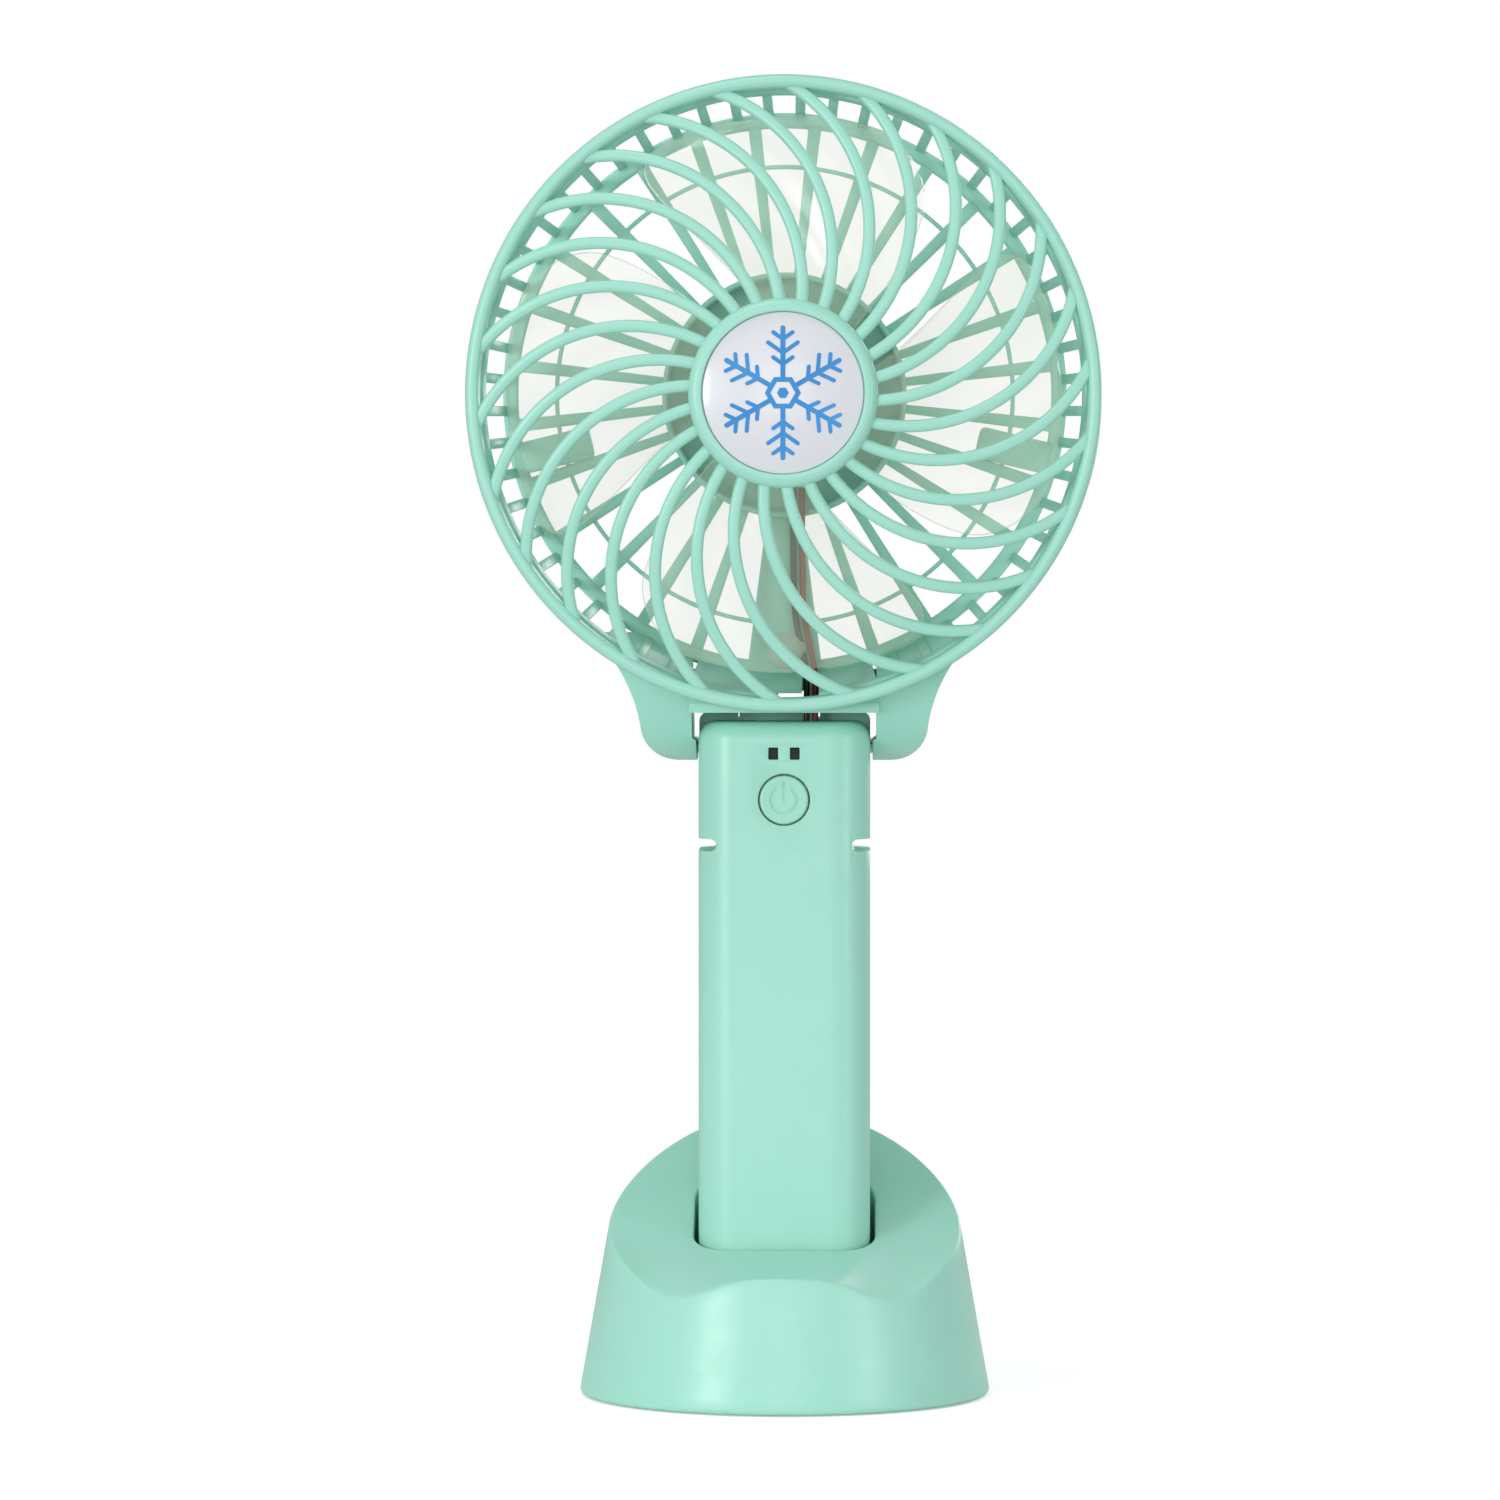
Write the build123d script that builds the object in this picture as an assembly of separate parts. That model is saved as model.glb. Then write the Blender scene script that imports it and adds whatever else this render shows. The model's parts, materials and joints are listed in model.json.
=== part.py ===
"""Folding hand fan standing in its desk base.

Millimetres. X runs to the right, the fan blows towards -Y, Z is up, and the origin is the centre of
the base's underside. Each function below makes one piece of the fan, and each piece is its own node.
"""

from build123d import *
import os
from math import cos, exp, hypot, pi, radians, sin, sqrt, tan

# Desk base: a cone with a wavy sloping top
BASE_FOOT_R = 33.6
BASE_TAPER = 0.177
BASE_BOTTOM_Z = 0.2
BASE_EDGE_R = 0.9
BASE_WALL = 2.0
PLATE_BOTTOM_Z = 0.8
PLATE_TOP_Z = 2.8
PLATE_R = 31.1
SOCKET_WIDTH = 29.6
SOCKET_DEPTH = 25.6
SOCKET_CORNER = 7.4
SOCKET_FLOOR_Z = 4.2
SOCKET_WALL = 1.8
FOOT_R = 3.5
FOOT_PLACES = [(15, 20), (-15, 20), (-15, -20), (15, -20)]
BASE_SCREW_CIRCLE_R = 25.0
BASE_SCREW_ANGLES = [90, 210, 330]

# Handle: a rounded tube in two halves that meet at Y = 0, the rear one a little taller
HANDLE_WIDTH = 28.0
HANDLE_DEPTH = 24.0
HANDLE_CORNER = 6.6
HANDLE_WALL = 1.8
HANDLE_BOTTOM_Z = 4.4
FRONT_HALF_TOP_Z = 110.6
FRONT_TOP_EDGE = 2.8
REAR_HALF_TOP_Z = 111.9
REAR_TOP_EDGE = 1.4
REAR_SEAMS_X = [-7.6, 5.6]
HANDLE_BOTTOM_EDGE = 1.5
NOTCH_Z = 90.5
NOTCH_HEIGHT = 2.0
NOTCH_FLOOR_X = 11.0
NOTCH_WALL = 1.6

# What the handle holds
CELL_R = 9.2
CELL_LENGTH = 65.0
CELL_BOTTOM_Z = 9.0
BOARD_FRONT_Y = -7.2
BOARD_BACK_Y = -6.0
BOARD_HALF_WIDTH = 9.2
BOARD_BOTTOM_Z = 80.2
BOARD_TOP_Z = 108.2
HANDLE_SCREWS = [(7.5, 77.5), (-7.5, 77.5), (0, 86.0)]
BUTTON_Z = 98.0
BUTTON_R = 3.93
BUTTON_HOLE_R = 4.25
BUTTON_FLANGE_R = 4.85
BUTTON_TRAVEL = 0.5
LIGHT_X = 1.75
LIGHT_Z = 105.5
PORT_Z = 98.0

# Fold hinge
HINGE_Y = 7.0
HINGE_Z = 106.2
PIN_R = 1.25
PIN_INNER_X = 10.2
PIN_OUTER_X = 19.5
RUNNING_GAP = 0.05

# Head: two guards around an impeller, all round one axis along Y
HEAD_Z = 163.75
RING_R = 51.45
RING_INNER_R = 48.9
RING_BACK_Y = -15.2
SEAM_Y = -17.0
RIB_COUNT = 26
RIB_WIDTH = 2.0
RIB_ARC_R = 27.4
RIB_ARC_X = -27.7
RIB_ARC_Z = 10.8
RIB_THICKNESS = 1.9
BOSS_R = 15.2
BOSS_FRONT_Y = -29.0
BADGE_R = 12.95
CAGE_FRONT_R = 49.6
CAGE_BACK_R = 46.0
CAGE_WALL = 1.0
BACK_Y = 1.2
BACK_FRONT_Y = -0.8
BAND_INNER_R = 43.6
SPOKE_COUNT = 28
SLOT_COUNT = 56
SLOT_WIDTH = 3.8
SOLID_HALF_ANGLE = 18.0
CUP_R = 20.0
MIDDLE_RING_R = 37.3
TAB_ANGLE = 103.5
YOKE_FRONT_Y = -14.6
EAR_INNER_X = 15.0
EAR_HUB_INNER_X = 14.35
EAR_BOTTOM_Z = 104.0
BRIDGE_BOTTOM_Z = 112.2

# Motor and impeller
MOTOR_R = 12.2
MOTOR_FRONT_Y = -16.0
END_CAP_Y = -2.8
SHAFT_R = 1.0
HUB_R = 14.3
HUB_FRONT_Y = -22.0
HUB_BACK_Y = -8.0
BLADE_COUNT = 4
BLADE_TIP_R = 44.6
BLADE_FRONT_Y = -19.4
BLADE_BACK_Y = -7.4
BLADE_THICKNESS = 1.1

# Wires
WIRE_R = 0.5
WIRE_TOP_Y = -2.2
BLACK_WIRE_X = 3.6
RED_WIRE_X = 5.0


# ---- helpers ----


def front_slab(sketch, front_y, back_y):
    """Extrude a sketch drawn as seen from the front, X across and Z up."""
    return extrude(Plane.XZ.offset(-back_y) * sketch, amount=back_y - front_y)


def side_slab(sketch, low_x, high_x):
    """Extrude a sketch drawn from the side, Y across and Z up."""
    return extrude(Plane.YZ.offset(low_x) * sketch, amount=high_x - low_x)


def block(x, y, z):
    """A box given by its (low, high) limits on each axis."""
    size = [limits[1] - limits[0] for limits in (x, y, z)]
    centre = [(limits[0] + limits[1]) / 2 for limits in (x, y, z)]
    return Pos(*centre) * Box(*size)


def turned(*edges):
    """Revolve an outline drawn as (radius, Y) about the head's axis, at the origin."""
    return revolve(make_face(list(edges)), Axis.Y)


def turned_polygon(*points):
    """Revolve a polygon of (radius, Y) points about the head's axis, at the origin."""
    return revolve(make_face(Polyline(*points, close=True)), Axis.Y)


def rod_y(radius, front_y, back_y, x=0, z=0):
    """A round rod along Y."""
    return Pos(x, 0, z) * front_slab(Circle(radius), front_y, back_y)


def rod_x(radius, low_x, high_x, y=0, z=0):
    """A round rod along X."""
    return Pos(0, y, z) * side_slab(Circle(radius), low_x, high_x)


def rod_z(radius, low_z, high_z, x=0, y=0):
    """A round rod along Z."""
    return Pos(x, y, low_z) * extrude(Circle(radius), high_z - low_z)


def at_head(shape):
    """Lift a shape made about the origin to the head's axis."""
    return Pos(0, 0, HEAD_Z) * shape


def around(shape, angles):
    """Copies of a shape turned clockwise about the head's axis, as seen from the front."""
    return [Rot(0, angle, 0) * shape for angle in angles]


def mirrored(shape):
    """A shape on the +X side with its twin on the -X side."""
    return [shape, mirror(shape, Plane.YZ)]


def wire(points):
    """A round wire along straight runs, joined by arcs as large as the runs allow."""
    places = [Vector(*point) for point in points]
    radii = []
    for before, here, after in zip(places, places[1:], places[2:]):
        turn = radians((here - before).get_angle(after - here))
        shorter = min((here - before).length, (after - here).length)
        radii.append(0.45 * shorter / tan(turn / 2))
    print("wire arcs", [round(radius, 1) for radius in radii])
    route = FilletPolyline(*points, radius=radii)
    return sweep(Plane(route @ 0, z_dir=route % 0) * Circle(WIRE_R), path=route)


# ---- desk base ----


def base_radius(z):
    """The base's outside radius at a height."""
    return BASE_FOOT_R - BASE_TAPER * (z - 1.0)


def base_top_height(x, y):
    """The top slopes up to the back, and its front edge dips to each side of the middle."""
    nearness = (hypot(x, y) / 29.0) ** 4 / (1 + exp(y / 3.0))
    spread = 11.0 if abs(x) < 18.5 else 8.0
    dips = 4.1 * exp(-(((abs(x) - 18.5) / spread) ** 2)) + 1.0 * exp(-((x / 6.0) ** 2))
    return 29.0 + 0.416 * y + 0.00747 * y**2 - nearness * dips


def above_base_top(drop=0.0):
    """Everything above the base's top surface, or above that surface lowered by drop."""
    steps = [-36.3 + 3.3 * i for i in range(23)]
    grid = [[Vector(x, y, base_top_height(x, y) - drop) for y in steps] for x in steps]
    return extrude(Face.make_surface_from_array_of_points(grid), amount=60, dir=(0, 0, 1))


def base_cone(inset, low_z):
    """The base's cone, made thinner all round by inset."""
    high_z = 50.0
    points = [(0, low_z), (base_radius(low_z) - inset, low_z), (base_radius(high_z) - inset, high_z)]
    return revolve(Plane.XZ * make_face(Polyline(*points, (0, high_z), close=True)), Axis.Z)


def base_screw_places():
    angles = [radians(angle) for angle in BASE_SCREW_ANGLES]
    return [(BASE_SCREW_CIRCLE_R * cos(a), BASE_SCREW_CIRCLE_R * sin(a)) for a in angles]


def make_base_shell():
    cone = base_cone(0, BASE_BOTTOM_Z)
    cone = fillet(cone.edges().sort_by(Axis.Z)[0], BASE_EDGE_R)
    outside = cone - above_base_top()
    hollow = base_cone(BASE_WALL, PLATE_TOP_Z) - above_base_top(BASE_WALL)
    recess = rod_z(base_radius(PLATE_TOP_Z) - BASE_WALL, 0, PLATE_TOP_Z)
    tube = RectangleRounded(
        SOCKET_WIDTH + 2 * SOCKET_WALL, SOCKET_DEPTH + 2 * SOCKET_WALL, SOCKET_CORNER + SOCKET_WALL
    )
    inside = Pos(0, 0, PLATE_TOP_Z) * extrude(tube, 50)
    for x, y in base_screw_places():
        inside += rod_z(2.4, PLATE_TOP_Z, 50, x, y)
    shell = outside - hollow - recess + (inside & outside)
    well = RectangleRounded(SOCKET_WIDTH, SOCKET_DEPTH, SOCKET_CORNER)
    shell -= Pos(0, 0, SOCKET_FLOOR_Z) * extrude(well, 50)
    for x, y in base_screw_places():
        shell -= rod_z(1.0, PLATE_TOP_Z, 11, x, y)
    return shell


def make_base_plate():
    plate = rod_z(PLATE_R, PLATE_BOTTOM_Z, PLATE_TOP_Z)
    for x, y in FOOT_PLACES:
        plate -= rod_z(FOOT_R, 0, 1.4, x, y)
    for x, y in base_screw_places():
        plate -= rod_z(2.2, 0, 2.0, x, y) + rod_z(1.1, 0, 3, x, y)
    return plate


def make_base_feet():
    return [rod_z(FOOT_R, 0, 1.4, x, y) for x, y in FOOT_PLACES]


def make_base_screws():
    return [rod_z(2.0, 1.1, 2.0, x, y) + rod_z(1.0, 2.0, 10, x, y) for x, y in base_screw_places()]


# ---- handle ----


def handle_outside(top_z, top_edge):
    outline = RectangleRounded(HANDLE_WIDTH, HANDLE_DEPTH, HANDLE_CORNER)
    body = Pos(0, 0, HANDLE_BOTTOM_Z) * extrude(outline, top_z - HANDLE_BOTTOM_Z)
    body = fillet(body.faces().sort_by(Axis.Z)[-1].edges(), top_edge)
    return fillet(body.faces().sort_by(Axis.Z)[0].edges(), HANDLE_BOTTOM_EDGE)


def handle_inside(top_z):
    outline = RectangleRounded(
        HANDLE_WIDTH - 2 * HANDLE_WALL, HANDLE_DEPTH - 2 * HANDLE_WALL, HANDLE_CORNER - HANDLE_WALL
    )
    low_z = HANDLE_BOTTOM_Z + HANDLE_WALL
    return Pos(0, 0, low_z) * extrude(outline, top_z - HANDLE_WALL - low_z)


def handle_tube(top_z, top_edge):
    """The tube a half is cut from: walls, strap notches, ribs round the cell, a shelf over it."""
    outside = handle_outside(top_z, top_edge)
    inside = handle_inside(top_z)
    tube = outside - inside
    half = NOTCH_HEIGHT / 2
    floor = NOTCH_FLOOR_X - NOTCH_WALL
    pocket = block((floor, 13), (-11, 11), (NOTCH_Z - half - NOTCH_WALL, NOTCH_Z + half + NOTCH_WALL))
    notch = block((NOTCH_FLOOR_X + half, 15), (-13, 13), (NOTCH_Z - half, NOTCH_Z + half))
    notch += rod_y(half, -13, 13, NOTCH_FLOOR_X + half, NOTCH_Z)
    for rib_z in (26, 56):
        rib = block((-13, 13), (-11, 11), (rib_z, rib_z + 1.2)) & inside
        tube += rib - rod_z(CELL_R + 0.1, 0, 80)
    cell_top_z = CELL_BOTTOM_Z + CELL_LENGTH
    shelf = block((-13, 13), (-11, 11), (cell_top_z + 0.4, cell_top_z + 1.4)) & inside
    tube += shelf - block((-13, 13), (-6, 6), (70, 80))
    for side in mirrored(pocket):
        tube += side & outside
    for side in mirrored(notch):
        tube -= side
    return tube


def make_handle_front_shell():
    tube = handle_tube(FRONT_HALF_TOP_Z, FRONT_TOP_EDGE)
    shell = tube & block((-20, 20), (-20, 0), (0, 120))
    inner_y = -HANDLE_DEPTH / 2 + HANDLE_WALL
    for x, z in HANDLE_SCREWS:
        shell += rod_y(2.1, inner_y - 0.5, 0, x, z)
        shell -= rod_y(1.0, -6.5, 0, x, z)
    shell -= rod_y(BUTTON_HOLE_R, -13, inner_y + 0.1, 0, BUTTON_Z)
    for x in (-LIGHT_X, LIGHT_X):
        shell -= block((x - 0.8, x + 0.8), (-13, -10), (LIGHT_Z - 1.0, LIGHT_Z + 1.0))
    shell -= block((10, 15), (-6.3, -2.9), (PORT_Z - 4.1, PORT_Z + 4.1))
    shell -= block((2.8, 5.8), (-4.0, -0.6), (108, 112))
    return shell


def make_handle_rear_shell():
    tube = handle_tube(REAR_HALF_TOP_Z, REAR_TOP_EDGE)
    shell = tube & block((-20, 20), (0, 20), (0, 120))
    for x, z in HANDLE_SCREWS:
        shell += rod_y(2.1, 0, 10.5, x, z) + rod_y(3.2, 8, 10.5, x, z)
        shell -= rod_y(1.1, 0, 13, x, z) + rod_y(2.1, 9.5, 13, x, z)
    for boss in mirrored(rod_x(3.0, 9.6, 12.5, HINGE_Y, HINGE_Z)):
        shell += boss
    for hole in mirrored(rod_x(PIN_R + RUNNING_GAP, 9, 15, HINGE_Y, HINGE_Z)):
        shell -= hole
    for x in REAR_SEAMS_X:
        shell -= block((x - 0.18, x + 0.18), (-0.1, 13), (REAR_HALF_TOP_Z - 1.0, 113))
    return shell


def make_handle_screws():
    return [rod_y(1.0, -6.0, 9.5, x, z) + rod_y(1.9, 9.5, 10.9, x, z) for x, z in HANDLE_SCREWS]


def make_battery_cell():
    top_z = CELL_BOTTOM_Z + CELL_LENGTH
    return rod_z(CELL_R, CELL_BOTTOM_Z, top_z - 0.4) + rod_z(3.0, top_z - 0.4, top_z)


def make_battery_contact_plate():
    top_z = CELL_BOTTOM_Z + CELL_LENGTH
    return block((-5, 5), (-8, 8), (top_z, top_z + 0.4))


def make_battery_spring_leaf():
    """A strip folded back under the cell, which it pushes up against the plate."""
    low_z = HANDLE_BOTTOM_Z + HANDLE_WALL + 0.15
    bend = Polyline((-6, low_z), (5, low_z), (5, low_z + 1.2), (-4, CELL_BOTTOM_Z - 0.5))
    return side_slab(trace(bend, 0.3), -3, 3)


def make_circuit_board():
    width = (-BOARD_HALF_WIDTH, BOARD_HALF_WIDTH)
    board = block(width, (BOARD_FRONT_Y, BOARD_BACK_Y), (BOARD_BOTTOM_Z, BOARD_TOP_Z))
    x, z = HANDLE_SCREWS[2]
    return board - rod_y(2.7, -8, -5, x, z)


def make_tact_switch():
    front_y = BOARD_FRONT_Y - 1.6
    body = block((-3, 3), (front_y, BOARD_FRONT_Y), (BUTTON_Z - 3, BUTTON_Z + 3))
    return body - rod_y(1.3, front_y, BOARD_FRONT_Y - 0.1, 0, BUTTON_Z)


def make_indicator_leds():
    depth = (BOARD_FRONT_Y - 2.6, BOARD_FRONT_Y)
    height = (LIGHT_Z - 0.95, LIGHT_Z + 0.95)
    return [block((x - 0.75, x + 0.75), depth, height) for x in (-LIGHT_X, LIGHT_X)]


def make_usb_socket():
    can = block((8.3, 13.7), (BOARD_BACK_Y, -3.2), (PORT_Z - 3.8, PORT_Z + 3.8))
    can -= block((9.3, 14), (BOARD_BACK_Y + 0.4, -3.6), (PORT_Z - 3.4, PORT_Z + 3.4))
    return can + block((9.0, 13.0), (-4.9, -4.3), (PORT_Z - 2.6, PORT_Z + 2.6))


def make_power_button():
    cap = rod_y(BUTTON_R, -12.4, -9.4, 0, BUTTON_Z)
    cap = fillet(cap.edges().sort_by(Axis.Y)[0], 0.3)
    return cap + rod_y(BUTTON_FLANGE_R, -10.05, -9.4, 0, BUTTON_Z)


def make_switch_plunger():
    return rod_y(1.25, -9.4, -7.9, 0, BUTTON_Z)


def make_handle_wire(x):
    return wire([(x, WIRE_TOP_Y, 110.9), (x, WIRE_TOP_Y, 105.0), (x, -5.6, 102.6)])


# ---- head: front guard ----


def rib_point(distance, arc_radius):
    """Where a rib's edge, an arc of arc_radius, is at a distance from the head's axis."""
    reach = hypot(RIB_ARC_X, RIB_ARC_Z)
    along = (distance**2 + reach**2 - arc_radius**2) / (2 * reach)
    across = sqrt(distance**2 - along**2)
    ux, uz = RIB_ARC_X / reach, RIB_ARC_Z / reach
    return (along * ux + across * uz, along * uz - across * ux)


def rib_outline():
    """One spiral rib as seen from the front: a band between two arcs about one centre."""
    edges = []
    inner_r, middle_r, outer_r = BOSS_R - 0.7, 32.0, RING_INNER_R + 0.6
    for arc_radius in (RIB_ARC_R - RIB_WIDTH / 2, RIB_ARC_R + RIB_WIDTH / 2):
        edges.append([rib_point(r, arc_radius) for r in (inner_r, middle_r, outer_r)])
    low, high = edges
    return make_face(
        [ThreePointArc(*low), Line(low[2], high[2]), ThreePointArc(*high), Line(high[0], low[0])]
    )


def guard_dome():
    """The domed sheet that the spiral ribs are cut from."""
    front = [(BOSS_R - 1.2, -27.7), (34, -26.0), (RING_INNER_R + 0.8, -21.4)]
    back = [(r, y + RIB_THICKNESS) for r, y in front]
    return turned(
        ThreePointArc(*front), Line(front[2], back[2]), ThreePointArc(*back), Line(back[0], front[0])
    )


def make_front_guard():
    crest_y = -22.6
    ring = turned(
        Line((RING_INNER_R, SEAM_Y), (RING_INNER_R, -21.0)),
        ThreePointArc((RING_INNER_R, -21.0), (50.0, crest_y), (RING_R, -20.6)),
        Line((RING_R, -20.6), (RING_R, RING_BACK_Y)),
        Line((RING_R, RING_BACK_Y), (CAGE_FRONT_R + 0.3, RING_BACK_Y)),
        Line((CAGE_FRONT_R + 0.3, RING_BACK_Y), (CAGE_FRONT_R + 0.3, SEAM_Y)),
        Line((CAGE_FRONT_R + 0.3, SEAM_Y), (RING_INNER_R, SEAM_Y)),
    )
    boss = turned_polygon(
        (0, -28.0), (BADGE_R, -28.0), (BADGE_R, BOSS_FRONT_Y), (14.6, BOSS_FRONT_Y),
        (BOSS_R, -28.4), (BOSS_R, -25.2), (13.8, -25.2), (13.8, -26.6), (0, -26.6),
    )
    rib = front_slab(rib_outline(), -32, -14) & guard_dome()
    ribs = around(rib, [360 / RIB_COUNT * i for i in range(RIB_COUNT)])
    return at_head(ring.fuse(boss, *ribs))


def make_badge_disc():
    return at_head(rod_y(BADGE_R, -28.6, -28.0))


# ---- head: rear guard with its yoke ----


def cage_radius(y):
    """The cage wall's outside radius, which shrinks towards the back."""
    return CAGE_FRONT_R + (CAGE_BACK_R - CAGE_FRONT_R) * (y - SEAM_Y) / (BACK_Y - SEAM_Y)


def cage_wall():
    outer = [(cage_radius(SEAM_Y), SEAM_Y), (cage_radius(BACK_Y), BACK_Y)]
    inner = [(r - CAGE_WALL, y) for r, y in reversed(outer)]
    wall = turned_polygon(*outer, *inner)
    slot = block((-SLOT_WIDTH / 2, SLOT_WIDTH / 2), (-14.6, BACK_FRONT_Y), (40, 55))
    pitch = 360 / SLOT_COUNT
    angles = [pitch * i for i in range(SLOT_COUNT) if abs(pitch * i - 180) > SOLID_HALF_ANGLE]
    return wall.cut(*around(slot, angles))


def back_grille():
    """Band, middle ring, spokes, strut panel, side tabs and hub cup of the back."""
    band = turned_polygon(
        (BAND_INNER_R, BACK_FRONT_Y), (CAGE_BACK_R, BACK_FRONT_Y),
        (CAGE_BACK_R, BACK_Y), (BAND_INNER_R, BACK_Y),
    )
    ring = turned_polygon(
        (MIDDLE_RING_R - 0.38, BACK_FRONT_Y), (MIDDLE_RING_R + 0.38, BACK_FRONT_Y),
        (MIDDLE_RING_R + 0.38, BACK_Y - 0.5), (MIDDLE_RING_R - 0.38, BACK_Y - 0.5),
    )
    cup = turned_polygon(
        (0, BACK_FRONT_Y), (CUP_R - 1.1, BACK_FRONT_Y), (CUP_R - 1.1, -5.5),
        (CUP_R, -5.5), (CUP_R, BACK_Y), (0, BACK_Y),
    )
    spoke = Polyline((-0.72, CUP_R - 0.5), (0.72, CUP_R - 0.5), (1.08, 44.6), (-1.08, 44.6), close=True)
    spoke = front_slab(make_face(spoke), BACK_FRONT_Y, BACK_Y - 0.3)
    pitch = 360 / SPOKE_COUNT
    parts = around(spoke, [pitch * (i + 0.5) for i in range(SPOKE_COUNT)])
    strut = Polyline((-2.9, -CUP_R + 0.5), (2.9, -CUP_R + 0.5), (5.3, -44.6), (-5.3, -44.6), close=True)
    parts.append(front_slab(make_face(strut), BACK_FRONT_Y, BACK_Y))
    tab = front_slab(Pos(0, 38.6) * RectangleRounded(5.2, 12.0, 1.2), BACK_FRONT_Y - 0.6, BACK_Y)
    parts += around(tab, [TAB_ANGLE, -TAB_ANGLE])
    return band.fuse(ring, cup, *parts)


def ear_outline():
    """The right ear as seen from the front: a shoulder curve, then a rounded toe."""
    return make_face(
        [
            ThreePointArc((31.5, 125.0), (25.3, 116.6), (23.4, 110.0)),
            ThreePointArc((23.4, 110.0), (21.8, 106.0), (17.4, EAR_BOTTOM_Z)),
            Line((17.4, EAR_BOTTOM_Z), (EAR_HUB_INNER_X, EAR_BOTTOM_Z)),
            Line((EAR_HUB_INNER_X, EAR_BOTTOM_Z), (EAR_HUB_INNER_X, 107.6)),
            Line((EAR_HUB_INNER_X, 107.6), (EAR_INNER_X, 107.6)),
            Line((EAR_INNER_X, 107.6), (EAR_INNER_X, 125.0)),
            Line((EAR_INNER_X, 125.0), (31.5, 125.0)),
        ]
    )


def ear_profile():
    """The ear from the side: it runs back and down from the cage to the hinge."""
    return make_face(
        [
            Line((YOKE_FRONT_Y, 126), (YOKE_FRONT_Y, 117)),
            ThreePointArc((YOKE_FRONT_Y, 117), (-8.5, 108.8), (2.5, EAR_BOTTOM_Z)),
            Line((2.5, EAR_BOTTOM_Z), (8.0, EAR_BOTTOM_Z)),
            ThreePointArc((8.0, EAR_BOTTOM_Z), (11.0, 105.6), (11.8, 109.0)),
            ThreePointArc((11.8, 109.0), (7.5, 115.5), (BACK_Y, 119.0)),
            Line((BACK_Y, 119.0), (BACK_Y, 126)),
            Line((BACK_Y, 126), (YOKE_FRONT_Y, 126)),
        ]
    )


def yoke():
    """Two ears and the flat bridge between them, cut back to the outside of the cage."""
    ear = front_slab(ear_outline(), -20, 20) & side_slab(ear_profile(), 10, 40)
    width = (-EAR_INNER_X - 0.5, EAR_INNER_X + 0.5)
    parts = [
        block(width, (YOKE_FRONT_Y, BACK_Y), (BRIDGE_BOTTOM_Z, BRIDGE_BOTTOM_Z + 1.6)),
        block(width, (YOKE_FRONT_Y, YOKE_FRONT_Y + 1.6), (BRIDGE_BOTTOM_Z, 119)),
        block(width, (BACK_Y - 1.6, BACK_Y), (BRIDGE_BOTTOM_Z, 119)),
    ]
    inner = turned_polygon(
        (0, -22), (cage_radius(-22) - 0.6, -22), (cage_radius(14) - 0.6, 14), (0, 14)
    )
    inner = at_head(inner)
    return [part - inner for part in [*mirrored(ear), *parts]]


def make_rear_guard():
    cage = at_head(cage_wall().fuse(back_grille()))
    guard = cage.fuse(*yoke())
    for x in (-8, 8):
        guard -= at_head(rod_y(0.95, -1, 2, x, 0) + rod_y(1.9, 0.3, 2, x, 0))
    guard -= at_head(block((0.4, 4.0), (-6, BACK_FRONT_Y), (-21, -18)))
    guard -= block((2.7, 6.0), (-3.6, -1.0), (108, 119))
    guard -= block((-1.1, 3.5), (SEAM_Y - 1, BACK_Y + 1), (114.3, 115.4))
    guard -= block((2.9, 5.7), (SEAM_Y - 1, -1.0), (114.3, 119.3))
    for hole in mirrored(rod_x(PIN_R, EAR_HUB_INNER_X - 1, PIN_OUTER_X, HINGE_Y, HINGE_Z)):
        guard -= hole
    return guard


def make_hinge_pins():
    return mirrored(rod_x(PIN_R, PIN_INNER_X, PIN_OUTER_X, HINGE_Y, HINGE_Z))


# ---- head: motor and wires ----


def make_motor_case():
    return at_head(
        turned_polygon(
            (SHAFT_R + RUNNING_GAP, MOTOR_FRONT_Y), (MOTOR_R, MOTOR_FRONT_Y), (MOTOR_R, END_CAP_Y),
            (MOTOR_R - 1, END_CAP_Y), (MOTOR_R - 1, MOTOR_FRONT_Y + 1),
            (SHAFT_R + RUNNING_GAP, MOTOR_FRONT_Y + 1),
        )
    )


def make_motor_terminals():
    tab = block((-0.55, 0.55), (-1.55, -1.15), (-15.05, -10.6))
    return [at_head(Pos(x, 0, 0) * tab) for x in (1.3, 2.8)]


def make_motor_end_cap():
    cap = rod_y(MOTOR_R, END_CAP_Y, BACK_FRONT_Y) - rod_y(SHAFT_R + RUNNING_GAP, END_CAP_Y, -1.6)
    for x in (-8, 8):
        cap -= rod_y(0.9, -2.6, BACK_FRONT_Y, x)
    return at_head(cap) - make_motor_terminals()


def make_motor_screws():
    screws = [rod_y(0.9, -2.5, 0.3, x) + rod_y(1.8, 0.3, 1.1, x) for x in (-8, 8)]
    return [at_head(screw) for screw in screws]


def make_motor_magnets():
    ring = turned_polygon((9.5, -13.5), (MOTOR_R - 1, -13.5), (MOTOR_R - 1, -4.5), (9.5, -4.5))
    gaps = block((-2.4, 2.4), (-14, -4), (-13, 13))
    return [at_head(magnet) for magnet in (ring - gaps).solids()]


def make_motor_rotor():
    return at_head(rod_y(9.0, -13.4, -4.6) - rod_y(SHAFT_R, -14, -4))


def make_motor_shaft():
    return at_head(rod_y(SHAFT_R, -21.4, -1.8))


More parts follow.
